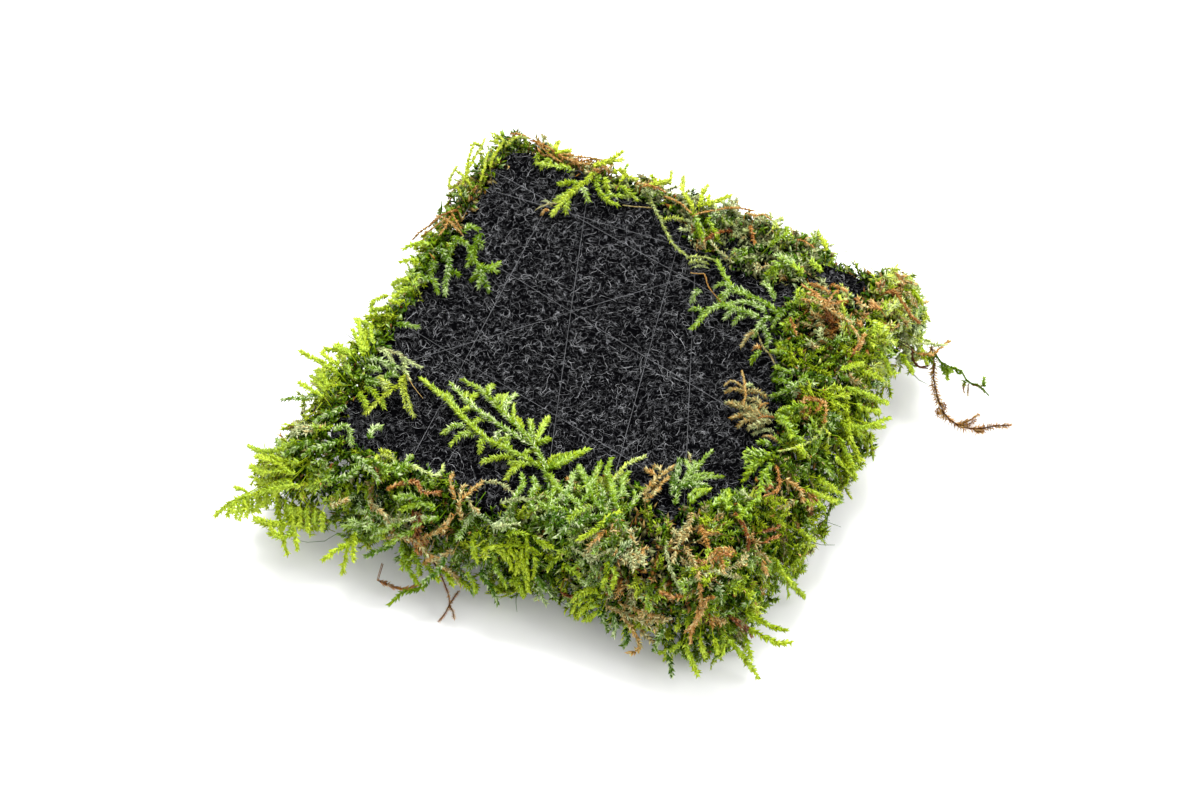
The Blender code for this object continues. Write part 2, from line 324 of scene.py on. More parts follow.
def fibre_greys(count, rng):
    """Each fibre's grey of painted sheen, most of them dark, with a little width on the map for each of its
    sides.
    """
    # Painted sheen: most fibres dark, a few much paler
    grey = DARKEST_FIBRE + FIBRE_SHEEN * rng.uniform(0, 1, (count, 1, 1)) ** PALER_POWER
    grey = grey + 0.01 * np.arange(FIBRE_SIDES)
    along = np.linspace(0.02, 0.98, FIBRE_POINTS)[None, :, None]
    grey, along = np.broadcast_arrays(grey, along)
    return np.stack([grey, along], -1).reshape(-1, 2)


def fibre_finish():
    """Black fibre with a painted grey sheen: each fibre's grey from the map, broken into patches by a fine
    noise.
    """
    material, shader = new_finish("Curly felt fibre", roughness=0.6, specular=0)
    chart = add_node(material, "UVMap", uv_map="OFBake").outputs["UV"]
    grey = add_node(material, "SeparateXYZ", {"Vector": chart}).outputs["X"]
    place = add_node(material, "TexCoord").outputs["Object"]
    sheen_patch = add_node(material, "TexNoise", {"Vector": place, "Scale": 800, "Detail": 1.0})
    shine = add_node(material, "MapRange", {
        "Value": sheen_patch.outputs["Fac"], "From Min": 0.34, "From Max": 0.64,
    })
    # Painted sheen, in patches along the fibres
    lit = add_node(material, "Math", {0: grey, 1: shine.outputs["Result"]}, operation="MULTIPLY")
    color = color_ramp(material, lit.outputs[0], [(0, shade("030304")), (1, shade("C0C1C4"))])
    join(material, color, shader.inputs["Base Color"])
    return material


fibre_rng = np.random.default_rng(1)
fibre_paths = np.concatenate([curly_fibres(fibre_rng), edge_fibres(fibre_rng)])
fibre_radii = np.full(fibre_paths.shape[:2], FIBRE_RADIUS)
fibre_sheen_tint = fibre_greys(len(fibre_paths), fibre_rng)
fibres = tubes(fibre_paths, fibre_radii, FIBRE_SIDES)
add_piece("felt_fibres", *fibres, fibre_finish(), ["felt_pad"], "felt", fibre_sheen_tint)


# Tie thread
# One length of thin dark nylon thread is wound round the pad in straight tight runs that cross at
# all angles over the bare face, and back under it from each run's end to where the next one starts.
# Each run is given by where it meets the felt's edges, in millimetres.
THREAD_RADIUS = 0.06 * MM
THREAD_SIDES = 5
THREAD_POINTS = 36
# How far it stands off the felt's sides and its faces, and how much higher the last runs lie
THREAD_CLEAR = 0.35 * MM
THREAD_LIFT = 0.42 * MM
THREAD_LAYERS = 0.1 * MM
# The share of a run at which it turns over the edge, and how far below the face it then is
THREAD_BEND = 0.012
THREAD_BEND_DROP = 1.1 * MM
FACE_RUNS = [
    ((-40, 13.5), (40, -2.8)),
    ((-40, -8.6), (40, -23.6)),
    ((-40, 26.9), (40, 34.3)),
    ((-40, 31.8), (40, 18.6)),
    ((-22.1, 40), (6.2, -40)),
    ((-26.4, 40), (-22, -40)),
    ((-1.2, 40), (17.2, -40)),
    ((0.8, 40), (34.6, -40)),
    ((-40, -23.6), (20.5, 40)),
]


def thread_runs():
    """Straight runs over the face and back under the felt, bent over its edge at both ends.

    Each run keeps its layer's height from edge to edge, and two more points at each end take it over
    the round of the edge and half way down, where the next run starts.
    """
    face = np.array(FACE_RUNS) * MM * (1 + THREAD_CLEAR / FELT_HALF)
    ends = np.concatenate([face, np.stack([face[:-1, 1], face[1:, 0]], 1)])
    t = np.concatenate([[0, 0], np.linspace(THREAD_BEND, 1 - THREAD_BEND, THREAD_POINTS), [1, 1]])
    flat = ends[:, :1] + t[:, None] * (ends[:, 1:] - ends[:, :1])
    layer = THREAD_LIFT + THREAD_LAYERS * np.arange(len(ends))[:, None] / len(FACE_RUNS)
    rise = np.repeat(FELT_THICK / 2 + layer, len(t), axis=1)
    rise[:, [1, -2]] = FELT_THICK / 2 - THREAD_BEND_DROP
    rise[:, [0, -1]] = 0
    side = np.where(np.arange(len(ends)) < len(face), 1, -1)[:, None]
    height = FELT_FACE - FELT_THICK / 2 + side * rise + 0.5 * face_wave(flat[..., 0], flat[..., 1])
    return np.concatenate([flat, height[..., None]], -1)


def thread_finish():
    """Smooth dark grey nylon with a painted shine, darker and paler by turns along its length."""
    material, shader = new_finish("Dark nylon thread", roughness=0.3, specular=0.6)
    place = add_node(material, "TexCoord").outputs["Object"]
    # Painted shine: paler and darker stretches along the thread
    shine = add_node(material, "TexNoise", {"Vector": place, "Scale": 120, "Detail": 2.0})
    color = color_ramp(material, shine.outputs["Fac"], [(0.35, shade("26272A")), (0.65, shade("4A4B4F"))])
    join(material, color, shader.inputs["Base Color"])
    return material


thread_paths = thread_runs()
thread_radii = np.full(thread_paths.shape[:2], THREAD_RADIUS)
thread = tubes(thread_paths, thread_radii, THREAD_SIDES)
add_piece("thread_wound", *thread, thread_finish(), ["tie_thread"], "thread")


# Moss bed
# The moss is a feather moss: each shoot is a thin stem with side branches left and right in one
# plane, and every branch is clothed in two rows of small soft leaves. Under the felt it is pressed
# flat, old and dark, and the pad lies on it.
LEAF_LENGTH = 1.2 * MM
LEAF_WIDTH = 0.38 * MM
LEAF_STEP = 0.105 * MM
LEAF_SIZES = 0.7, 1.2
# Shares of a leaf's length or width: where it is widest, how deep its keel is, how far its tip droops
# and how far its root is sunk in the stem
LEAF_BELLY = 0.36
LEAF_KEEL = 0.25
LEAF_DROOP = 0.1
LEAF_SUNK = 0.1
# The four rows' turns round the stem, the share of the opening that each has, and how far tips close
LEAF_TURNS = np.radians([80, -36, -80, 36])
LEAF_SPREADS = np.array([1, 0.62, 1, 0.62])
LEAF_CLOSING = 0.3
BRANCH_STEP = 1.7 * MM
BRANCH_SHARE = 0.4
BRANCH_REACHES = 1.4 * MM, 5 * MM
BRANCH_ANGLE = 0.9
BRANCH_CURVE = 0.35
BRANCH_LEAF_OPENING = 1.05
STEM_RADIUS = 0.1 * MM
HIDDEN_ROOT = 0.25
PATH_POINTS = 9
PRESSED = 1.2 * MM
OFF_THE_FELT = 0.2 * MM
# By how much a leafy row and a branch turn yellower from root to tip, and brighter with painted light
YOUNGER_ROW, YOUNGER_BRANCH = 0.06, 0.05
BRIGHTER_ROW, BRIGHTER_BRANCH = 0.16, 0.14
# Places and steps on the chart of moss colours: a leaf's width there, where the greens end, and the
# share of leaves that are withered or have a painted glint. Each leaf's lights are for its root, two
# sides and tip: painted shade at the root, a random painted keel of light and shade across the sides,
# and painted light at the tip, with the painted glint added to some tips and sides.
CHART_SPREAD = 0.007
OLDEST_GREEN = 0.65
WITHERED_SHARE = 0.16
WITHERED_TONES = 0.74, 0.9
GLINT_SHARE = 0.2
SIDES_APART = np.array([0, -1, 1, 0])
ROOT_SHADE_TO_TIP_LIGHT = np.array([-0.38, 0, 0, 0.18])
GLINT_LIGHTS = 0.4 * np.array([0, 0.45, 0.45, 1])


def gather(parts):
    """Several (corners, faces, tint) parts as one."""
    shifts = np.cumsum([0] + [len(corners) for corners, _, _ in parts[:-1]])
    return (
        np.concatenate([corners for corners, _, _ in parts]),
        np.concatenate([faces + shift for (_, faces, _), shift in zip(parts, shifts)]),
        np.concatenate([tint for _, _, tint in parts]),
    )


def bowed(start, middle, end):
    """Paths from start to end that are drawn out to middle on the way: second-degree curves."""
    t = np.linspace(0, 1, PATH_POINTS)[None, :, None]
    start, middle, end = start[:, None], middle[:, None], end[:, None]
    return start * (1 - t) ** 2 + 2 * t * (1 - t) * middle + end * t**2


def waved(paths, size, rng):
    """Paths swung to and fro: one sine wave of that size along each, to a side picked by chance."""
    count = len(paths)
    side = unit(rng.normal(0, 1, (count, 1, 3)))
    t = np.linspace(0, 1, PATH_POINTS)[None, :, None]
    turns, start = rng.uniform(0.7, 1.5, (count, 1, 1)), rng.uniform(0, 1, (count, 1, 1))
    return paths + size * side * (np.sin(2 * np.pi * (turns * t + start)) - np.sin(2 * np.pi * start))


def along_path(paths, stem, t):
    """The places and directions at share t of the way along the paths picked by stem."""
    spot = t * (PATH_POINTS - 1)
    before = np.clip(spot.astype(int), 0, PATH_POINTS - 2)
    share = (spot - before)[:, None]
    heading = np.gradient(paths, axis=1)
    place = paths[stem, before] * (1 - share) + paths[stem, before + 1] * share
    return place, unit(heading[stem, before] * (1 - share) + heading[stem, before + 1] * share)


def spread_evenly(places):
    """Points at even distances along one path, as many as every path has."""
    gone = np.concatenate([[0], np.cumsum(np.linalg.norm(np.diff(places, axis=0), axis=-1))])
    share = np.linspace(0, gone[-1], PATH_POINTS)
    return np.stack([np.interp(share, gone, axis) for axis in places.T], -1)


def path_lengths(paths):
    """Each path's steps from point to point, added up."""
    return np.linalg.norm(np.diff(paths, axis=1), axis=-1).sum(-1)


def leaves(root, along, face, length, width, tone, light, rng):
    """Leaves, each a closed blade of four corners: its root, two raised sides and its tip.

    The sides stand above the line from root to tip, so the leaf is a shallow keel. tone picks its
    colour across the chart and light how bright it is up the chart, from painted shade at the root to
    painted light at the tip. One side gets painted light and the other painted shade, by a random
    amount, and some tips get a painted glint.
    """
    count = len(root)
    across = unit(np.cross(face, along))
    roll = rng.normal(0, 0.3, (count, 1))
    across = np.cos(roll) * across + np.sin(roll) * np.cross(along, across)
    up = np.cross(along, across)
    length, width = length[:, None], width[:, None]
    belly = root + LEAF_BELLY * length * along + LEAF_KEEL * width * up
    corners = np.stack([
        root,
        belly - width / 2 * across,
        belly + width / 2 * across,
        root + length * along - LEAF_DROOP * length * up,
    ], 1)
    first = 4 * np.arange(count)[:, None, None]
    faces = first + np.array([[0, 1, 2], [3, 2, 1], [0, 3, 1], [0, 2, 3]])
    tone = np.clip(tone, 2 * CHART_SPREAD, 1 - 2 * CHART_SPREAD)[:, None]
    # Painted light and shade: a random keel across the sides, and glints on some leaves
    light = np.clip(light, 0.2, 0.8)[:, None] + rng.normal(0, 0.1, (count, 1)) * SIDES_APART
    light += (rng.uniform(0, 1, (count, 1)) < GLINT_SHARE) * GLINT_LIGHTS
    tint = np.stack([
        tone + CHART_SPREAD * SIDES_APART,
        np.clip(light + ROOT_SHADE_TO_TIP_LIGHT, 0.01, 0.99),
    ], -1)
    return corners.reshape(-1, 3), faces.reshape(-1, 3), tint.reshape(-1, 2)


def younger(tone, t, by):
    """A green tone drawn towards yellow with t, from root to tip. Brown tones stay."""
    return tone + np.where(tone < OLDEST_GREEN, by * (t - 0.4), 0)


def leaf_rows(paths, face, tone, light, rng, leaf, opening, share=(0, 1), plump=1.0, lost=0, withered=0):
    """Leaves all along each path: two flat rows left and right of it, and two raised rows between.

    One leaf follows another at every step and takes the rows in turn. They leave the stem at the
    opening angle, the raised ones at less, and close up a little at its blunt tip. They grow on the
    share of each path given, from and to. Some are lost, and some near the root have withered brown.
    """
    length = path_lengths(paths)
    steps = (np.arange(int(length.max() / (leaf * LEAF_STEP)) + 1) + 0.3) * leaf * LEAF_STEP
    first, last = (np.broadcast_to(end, len(paths)) * length for end in share)
    stem, step = np.nonzero((steps < np.minimum(last, length)[:, None]) & (steps >= first[:, None]))
    kept = rng.uniform(0, 1, len(stem)) >= lost
    stem, step = stem[kept], step[kept]
    t = steps[step] / length[stem]
    place, tangent = along_path(paths, stem, t)
    across = unit(np.cross(face[stem], tangent))
    turn = (LEAF_TURNS[step % 4] + rng.normal(0, 0.15, len(t)))[:, None]
    outward = np.sin(turn) * across + np.cos(turn) * np.cross(tangent, across)
    angle = opening * LEAF_SPREADS[step % 4] * (1 - LEAF_CLOSING * t**8) + rng.normal(0, 0.2, len(t))
    along = np.cos(angle)[:, None] * tangent + np.sin(angle)[:, None] * outward
    size = leaf * rng.uniform(*LEAF_SIZES, len(t))
    tones = younger(tone[stem], t, YOUNGER_ROW) + rng.normal(0, 0.025, len(t))
    brown = rng.uniform(0, 1, len(t)) < withered * (1 - t)
    tones = np.where(brown, rng.uniform(*WITHERED_TONES, len(t)), tones)
    # Painted light: leaves brighter towards the tip of the row
    lights = light[stem] + BRIGHTER_ROW * (t - 0.5) + rng.normal(0, 0.15, len(t))
    root = place - LEAF_SUNK * LEAF_LENGTH * outward
    return leaves(
        root, along, face[stem], LEAF_LENGTH * size, LEAF_WIDTH * plump * size, tones, lights, rng,
    )


def bare_stems(paths, radius, tone, light, tip=0.4):
    """Thin three-sided stems with every other point of the paths, tapering to the share at the tip."""
    points = paths[:, ::2]
    count, turns = points.shape[:2]
    radii = np.broadcast_to(radius * np.linspace(1, tip, turns), (count, turns))
    corners, faces = tubes(points, radii, 3)
    spread = CHART_SPREAD * np.tile([-1, 0, 1], count * turns)
    rise = 0.05 * np.tile(np.repeat(np.linspace(-1, 1, turns), 3), count)
    tint = np.stack([np.repeat(tone, 3 * turns) + spread, np.repeat(light, 3 * turns) + rise], -1)
    return corners, faces, np.clip(tint, 0.01, 0.99)


def fronds(shoots, rng, leaf=1.0, last=1):
    """Feather-shaped shoots: leafy stems with leafy side branches on alternate sides.

    A branch's reach rises from the root and falls to the tip, with a good deal of chance in it. Each
    branch leaves the stem at about 50 degrees and curves forwards. Nothing grows past the last share
    of each shoot.
    """
    paths, face, tone, light = shoots
    length = path_lengths(paths)
    steps = (np.arange(int(length.max() / BRANCH_STEP) + 1) + 0.8) * BRANCH_STEP
    last = np.broadcast_to(last, len(paths))
    grown = np.minimum(0.93, last - 0.1) * length
    stem, step = np.nonzero((steps < grown[:, None]) & (steps > HIDDEN_ROOT * length[:, None]))
    t = steps[step] / length[stem] + rng.normal(0, 0.03, len(stem))
    place, tangent = along_path(paths, stem, np.clip(t, 0, 1))
    side = np.where((step + stem) % 2, 1, -1)[:, None]
    across = unit(np.cross(face[stem], tangent)) * side
    rise = np.clip(t / 0.25, 0.3, 1) * np.clip((1 - t) / 0.5, 0, 1)
    reach = BRANCH_SHARE * length[stem] * rise * rng.uniform(0.5, 1.35, len(stem))
    reach = np.clip(reach, *BRANCH_REACHES)[:, None]
    angle = rng.normal(BRANCH_ANGLE, 0.28, len(stem))[:, None]
    out = unit(
        np.cos(angle) * tangent + np.sin(angle) * across + rng.normal(0, 0.35, reach.shape) * face[stem]
    )
    middle = place + 0.55 * reach * out
    end = place + reach * unit(out + BRANCH_CURVE * tangent + rng.normal(0, 0.12, out.shape))
    branches = waved(bowed(place, middle, end), 0.2 * MM, rng)
    branch_face = unit(face[stem] + rng.normal(0, 0.18, out.shape))
    branch_tone = younger(tone[stem], t, YOUNGER_BRANCH) + rng.normal(0, 0.03, len(stem))
    # Painted light: branches brighter towards the shoot's tip
    branch_light = light[stem] + BRIGHTER_BRANCH * (t - 0.4) + rng.normal(0, 0.1, len(stem))
    whole = last >= 1
    return gather([
        leaf_rows(
            paths, face, tone, light, rng, leaf, BRANCH_LEAF_OPENING, (HIDDEN_ROOT, last),
            withered=WITHERED_SHARE,
        ),
        leaf_rows(
            branches, branch_face, branch_tone, branch_light, rng, leaf, BRANCH_LEAF_OPENING,
            withered=WITHERED_SHARE / 2,
        ),
        bare_stems(paths[whole], STEM_RADIUS, tone[whole], light[whole] - 0.15),
    ])


def settled(corners):
    """Moss pressed clear of the ground and of the felt.

    Below the pressed height it is squeezed upwards, less and less the lower it hangs, and over the
    felt nothing is lower than its face.
    """
    x, y, z = corners.T
    z = np.where(z < PRESSED, PRESSED * np.exp(np.minimum(z / PRESSED - 1, 0)), z)
    on_felt = (np.maximum(np.abs(x), np.abs(y)) < FELT_HALF) & (z > FELT_FACE - FELT_THICK / 2)
    return np.column_stack([x, y, np.where(on_felt, np.maximum(z, FELT_FACE + OFF_THE_FELT), z)])


# The chart of moss colours: old greens, young yellow-greens, tans, browns and dark red
MOSS_CHART = [
    (0.00, "0D1603"), (0.10, "213F05"), (0.22, "4A780C"), (0.36, "82A810"), (0.50, "B4C814"),
    (0.62, "C8D63E"), (0.70, "C6D48E"), (0.76, "9EA970"), (0.82, "C0AA68"), (0.88, "CA923E"),
    (0.94, "A6622A"), (1.00, "5A3422"),
]
# How far the brightest leaves turn paler, by their place on that chart: partly as young tips are,
# partly as painted wet glints
PALLOR_CHART = [
    (0.0, 0.8), (0.28, 0.95), (0.42, 0.16), (0.64, 0.14), (0.78, 0.8), (0.88, 0.28), (1.0, 0.3),
]
PALEST_TIP_AND_GLINT = "D2DAAF"
DARKEST_LIGHT, BRIGHTEST_LIGHT = 0.1, 1.7
PALER_FROM = 0.55


def moss_finish(name, glow, pale=1.0):
    """Damp glossy leaves, coloured from the chart, made darker or brighter up it by their painted light
    and shade, with light coming through them.

    The brightest turn paler too, partly as young leaf tips are and partly as painted wet glints: the
    deep greens and the dead browns most. The Mix node's inputs 0, 6 and 7 are its factor and its two
    colours.
    """
    material, shader = new_finish(name, roughness=0.25, specular=0.15)
    chart = add_node(material, "UVMap", uv_map="OFBake").outputs["UV"]
    place = add_node(material, "SeparateXYZ", {"Vector": chart})
    color = color_ramp(material, place.outputs["X"], [(at, shade(code)) for at, code in MOSS_CHART])
    # Painted light and shade: the chart's height scales the colour from dark to bright
    light = add_node(material, "MapRange", {
        "Value": place.outputs["Y"], "To Min": DARKEST_LIGHT, "To Max": BRIGHTEST_LIGHT,
    })
    # Painted wet glints and pale young tips: the brightest turn towards the palest colour
    greys = [(at, (share * pale,) * 3 + (1,)) for at, share in PALLOR_CHART]
    pallor = add_node(material, "MapRange", {
        "Value": place.outputs["Y"], "From Min": PALER_FROM, "From Max": 1.0,
        "To Max": color_ramp(material, place.outputs["X"], greys),
    })
    paler = add_node(material, "Mix", {
        0: pallor.outputs["Result"], 6: color, 7: shade(PALEST_TIP_AND_GLINT),
    }, data_type="RGBA")
    tint = add_node(material, "VectorMath", {0: paler.outputs[2]}, operation="SCALE")
    join(material, light.outputs["Result"], tint.inputs["Scale"])
    join(material, tint.outputs["Vector"], shader.inputs["Base Color"])
    thin = add_node(material, "Gamma", {"Color": tint.outputs["Vector"], "Gamma": 0.75})
    through = add_node(material, "BsdfTranslucent", {"Color": thin.outputs["Color"]})
    mixed = add_node(material, "MixShader", {
        0: glow, 1: shader.outputs["BSDF"], 2: through.outputs["BSDF"],
    })
    output = material.node_tree.nodes["Material Output"]
    join(material, mixed.outputs["Shader"], output.inputs["Surface"])
    return material


damp_moss = moss_finish("Damp feather moss", glow=0.36)

BED_SHOOTS = 30
BED_MARGIN = 3 * MM
BED_LEAF = 1.6
# Ranges in millimetres, and the tones that the pressed shoots are picked from
BED_HEIGHTS = 1, 6
BED_LENGTHS = 8, 15
BED_TONES = [0.12, 0.2, 0.3, 0.42, 0.8]


def bed_shoots(rng):
    """Shoots pressed flat under the pad, running every way, with their faces down."""
    count = BED_SHOOTS
    low, high = (np.array(corner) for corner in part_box("moss_bed"))
    start = rng.uniform(low + BED_MARGIN, high - BED_MARGIN, (count, 3))
    start[:, 2] = rng.uniform(*BED_HEIGHTS, count) * MM
    turn = rng.uniform(0, 2 * np.pi, count)
    heading = np.stack([np.cos(turn), np.sin(turn), rng.normal(-0.12, 0.1, count)], -1)
    end = start + rng.uniform(*BED_LENGTHS, (count, 1)) * MM * heading
    face = unit(np.array([0, 0, -1]) + rng.normal(0, 0.3, (count, 3)))
    middle = (start + end) / 2 + rng.normal(0, 1.5, (count, 3)) * MM
    tone = rng.choice(BED_TONES, count)
    return bowed(start, middle, end), face, tone, rng.uniform(0.3, 0.6, count)


bed_rng = np.random.default_rng(10)
corners, faces, tint = fronds(bed_shoots(bed_rng), bed_rng, BED_LEAF)
add_piece("moss_under", settled(corners), faces, damp_moss, ["moss_bed"], "moss", tint)


# Fringes and corner tufts
# The moss has grown out past each edge of the felt, hung down and curled back over the rim. Tips are
# young and yellow-green, and what lies inside is old, brown and dark, dark partly as old leaves are
# and partly with painted shade. Every clump fills its CAD solid.
# Each clump's number of shoots, the seed of its chance and its longest shoot in millimetres
CLUMPS = {
    "fringe_front": (270, 1, 12),
    "fringe_right": (245, 2, 12),
    "fringe_back": (230, 3, 8),
    "fringe_left": (165, 4, 8),
    "tuft_front_left": (75, 5, 10),
    "tuft_front_right": (150, 6, 8),
    "tuft_back_right": (90, 7, 8),
    "tuft_back_left": (24, 8, 7),
}
SHORTEST_SHOOT = 4.5
SHOOT_WAVE = 0.6 * MM
SHOOT_LIGHT = 0.55
# Painted light and shade: how much brighter a shoot is for each millimetre its tip stands out of its clump,
# and darker the deeper it lies
DEPTH_SHADE_A_MM = 0.1
TIP_HEIGHTS = -2.6, 0.4
ROOT_LEANS = 0.25, 1.8
# How strongly shoots run in over the felt, or out and down outside it, and lie like their neighbours
INWARDS, OUTWARDS, DOWNWARDS = 0.4, 0.7, 0.7
LIE_PULL = 0.75
LIE_LENGTH = 26 * MM
USUAL_GREEN = 0.37
BROWN_SHARE = 0.14
BROWN_TONES = 0.76, 0.94
# Old leaves inside each clump: how many to a shoot, their depths, lengths, dim lights of painted shade, and
# their deeper green
OLD_LEAVES = 14
OLD_LEAF_DEPTHS = 0.3, 0.72
OLD_LEAF_LENGTHS = 1.3, 2.3
OLD_LEAF_LIGHTS = 0.14, 0.4
OLD_LEAF_TONE = 0.68
RIM_WIDTH = 1 * MM
RIM_PULL = 0.7
UNDERNEATH_SHARE = 0.25
BARE_SHARE = 0.06
PLAN_CELL = 0.5 * MM
PLAN_SIDE = int(2 * FELT_HALF / PLAN_CELL)
PLAN_DEPTH = 1 * MM
PLAN_SAMPLES = 60000
# Where the moss has a colour of its own: middle and reach in millimetres, place on the chart, added
# brightness (painted light where above 0, painted shade where below), and the share of shoots that
# take it
PATCHES = [
    ((-52, -45, 8), 16, 0.52, 0.3, 0.9),
    ((-50, -18, 12), 14, 0.54, 0.15, 0.9),
    ((-45, -10, 20), 12, 0.48, 0.12, 0.8),
    ((-48, 10, 14), 14, 0.48, 0.06, 0.7),
    ((-32, -44, 14), 12, 0.38, 0.0, 0.7),
    ((-18, -46, 12), 9, 0.34, -0.12, 0.6),
    ((-16, -44, 16), 6, 0.84, -0.05, 0.12),
    ((5, -46, 8), 12, 0.46, 0.0, 0.8),
    ((12, -41, 20), 7, 0.27, 0.06, 0.8),
    ((12, -34, 24), 11, 0.36, 0.14, 0.85),
    ((12, -34, 24), 10, 0.66, 0.0, 0.3),
    ((24, -40, 20), 11, 0.79, 0.0, 0.45),
    ((29, -42, 16), 9, 0.86, 0.04, 0.4),
    ((32, -30, 24), 8, 0.82, -0.02, 0.4),
    ((35, -24, 24), 8, 0.3, -0.2, 0.7),
    ((36, -46, 6), 10, 0.48, -0.02, 0.7),
    ((50, -10, 12), 16, 0.42, -0.09, 0.8),
    ((42, 2, 25), 12, 0.33, -0.08, 0.7),
    ((42, -14, 22), 8, 0.8, -0.1, 0.4),
    ((52, 12, 12), 14, 0.47, 0.0, 0.8),
    ((34, 14, 28), 10, 0.4, -0.06, 0.6),
    ((36, 16, 27), 7, 0.78, -0.08, 0.5),
    ((28, 36, 24), 12, 0.36, 0.1, 0.7),
    ((22, 32, 24), 7, 0.32, 0.04, 0.7),
    ((36, 27, 25), 6, 0.88, 0.08, 0.8),
    ((52, 36, 14), 14, 0.66, 0.12, 0.8),
    ((44, 40, 22), 7, 0.84, 0.1, 0.5),
    ((16, 37, 26), 11, 0.34, 0.02, 0.6),
    ((14, 37, 25), 10, 0.76, -0.03, 0.7),
    ((28, 38, 24), 9, 0.76, -0.04, 0.6),
    ((-6, 41, 23), 11, 0.75, 0.0, 0.55),
    ((8, 40, 24), 9, 0.73, 0.0, 0.6),
    ((-20, 44, 20), 12, 0.68, 0.02, 0.6),
    ((-26, 42, 23), 6, 0.88, 0.04, 0.7),
    ((-44, 26, 22), 8, 0.84, 0.0, 0.5),
    ((-46, 42, 18), 10, 0.58, 0.04, 0.7),
]
# Where hardly a shoot covers the felt or the dark inside of the moss: middle and reach in millimetres
BARE_PLACES = [
    ((33, 42, 21), 8), ((-5, -39.5, 23.5), 6.5), ((41.5, -31, 21), 2.6), ((23.5, -27.5, 23), 2.2),
]


def nearest_felt(points):
    """The nearest point to each on the middle sheet of the felt."""
    edge = FELT_HALF - RIM_WIDTH
    flat = np.clip(points[:, :2], -edge, edge)
    return np.column_stack([flat, np.full(len(points), FELT_FACE - FELT_THICK / 2)])


def solid_faces(node):
    """A CAD solid's triangles: their three corners, outward directions and areas."""
    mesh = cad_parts[node].data
    mesh.calc_loop_triangles()
    places = np.empty(len(mesh.vertices) * 3, np.float32)
    mesh.vertices.foreach_get("co", places)
    index = np.empty(len(mesh.loop_triangles) * 3, np.int32)
    mesh.loop_triangles.foreach_get("vertices", index)
    corners = places.reshape(-1, 3).astype(float)[index.reshape(-1, 3)]
    normal = np.cross(corners[:, 1] - corners[:, 0], corners[:, 2] - corners[:, 0])
    return corners, unit(normal), np.linalg.norm(normal, axis=-1)


def spread_over(corners, weight, count, rng):
    """Random points on triangles picked by weight, with the numbers of those triangles."""
    pick = rng.choice(len(weight), count, p=weight / weight.sum())
    across, down = np.sqrt(rng.uniform(0, 1, (count, 1))), rng.uniform(0, 1, (count, 1))
    a, b, c = np.moveaxis(corners[pick], 1, 0)
    return (1 - across) * a + across * ((1 - down) * b + down * c), pick


def surface_points(node, count, rng):
    """Random points, with their outward directions, on the outer side of a clump's solid.

    Faces turned towards the felt or towards the next clump are left out, and the rest are picked by
    area, with few underneath and hardly any in the bare places. Directions are drawn towards the line
    from the felt's rim.
    """
    corners, normal, area = solid_faces(node)
    middle = corners.mean(1)
    open_side = np.sum(unit(middle - nearest_felt(middle)) * normal, -1) > 0.25
    hidden = (np.abs(middle[:, :2]).max(-1) < FELT_HALF) & (middle[:, 2] < FELT_FACE)
    weight = area * (open_side & ~hidden) * np.where(normal[:, 2] < -0.5, UNDERNEATH_SHARE, 1)
    for bare, reach in BARE_PLACES:
        away = np.linalg.norm(middle - np.array(bare) * MM, axis=-1)
        weight *= np.where(away < reach * MM, BARE_SHARE, 1)
    point, pick = spread_over(corners, weight, count, rng)
    return point, unit(normal[pick] + RIM_PULL * unit(point - nearest_felt(point)))


def plan_squares(points):
    """Each point's square on the plan of the felt, and whether it is over the felt at all."""
    square = np.floor((points[:, :2] + FELT_HALF) / PLAN_CELL).astype(int)
    over = ((square >= 0) & (square < PLAN_SIDE)).all(-1) & (points[:, 2] > FELT_FACE - PLAN_DEPTH)
    return np.clip(square, 0, PLAN_SIDE - 1), over


def moss_plan():
    """A plan of the felt in half-millimetre squares, true where a clump's solid lies over its face."""
    rng = np.random.default_rng(9)
    plan = np.zeros((PLAN_SIDE, PLAN_SIDE), bool)
    for node in CLUMPS:
        corners, normal, area = solid_faces(node)
        points, _ = spread_over(corners, area * np.maximum(normal[:, 2], 1e-6), PLAN_SAMPLES, rng)
        square, over = plan_squares(points)
        plan[tuple(square[over].T)] = True
    return plan


plan = moss_plan()


def over_bare_felt(points):
    """Whether each point is over the felt's face where no clump lies on it."""
    square, over = plan_squares(points)
    return over & ~plan[tuple(square.T)]


def chart_place(points, rng):
    """Each shoot's place on the colour chart and its added brightness of painted light and shade.

    It is green by chance, now and then brown, and drawn towards the patches that it is near, which
    also add their painted light and shade.
    """
    tone = rng.normal(USUAL_GREEN, 0.1, len(points))
    brown = rng.uniform(0, 1, len(points)) < BROWN_SHARE
    tone = np.where(brown, rng.uniform(*BROWN_TONES, len(points)), tone)
    patch_light_and_shade = np.zeros(len(points))
    for middle, reach, own, light, pull in PATCHES:
        near = np.exp(-np.sum((points - np.array(middle) * MM) ** 2, -1) / (reach * MM) ** 2)
        drawn = rng.uniform(0, 1, len(points)) < near * pull
        tone = np.where(drawn, own + rng.normal(0, 0.035, len(points)), tone)
        # Painted light and shade from each patch near the shoot
        patch_light_and_shade += light * near
    return np.clip(tone, 0.08, 0.97), patch_light_and_shade


def lie(points):
    """The way the moss lies in each place: three crossed waves, so that neighbours lie alike."""
    waves = np.random.default_rng(40).normal(0, 1, (3, 3)) * 2 * np.pi / LIE_LENGTH
    return np.sin(points @ waves + np.array([0.4, 2.1, 4.2]))


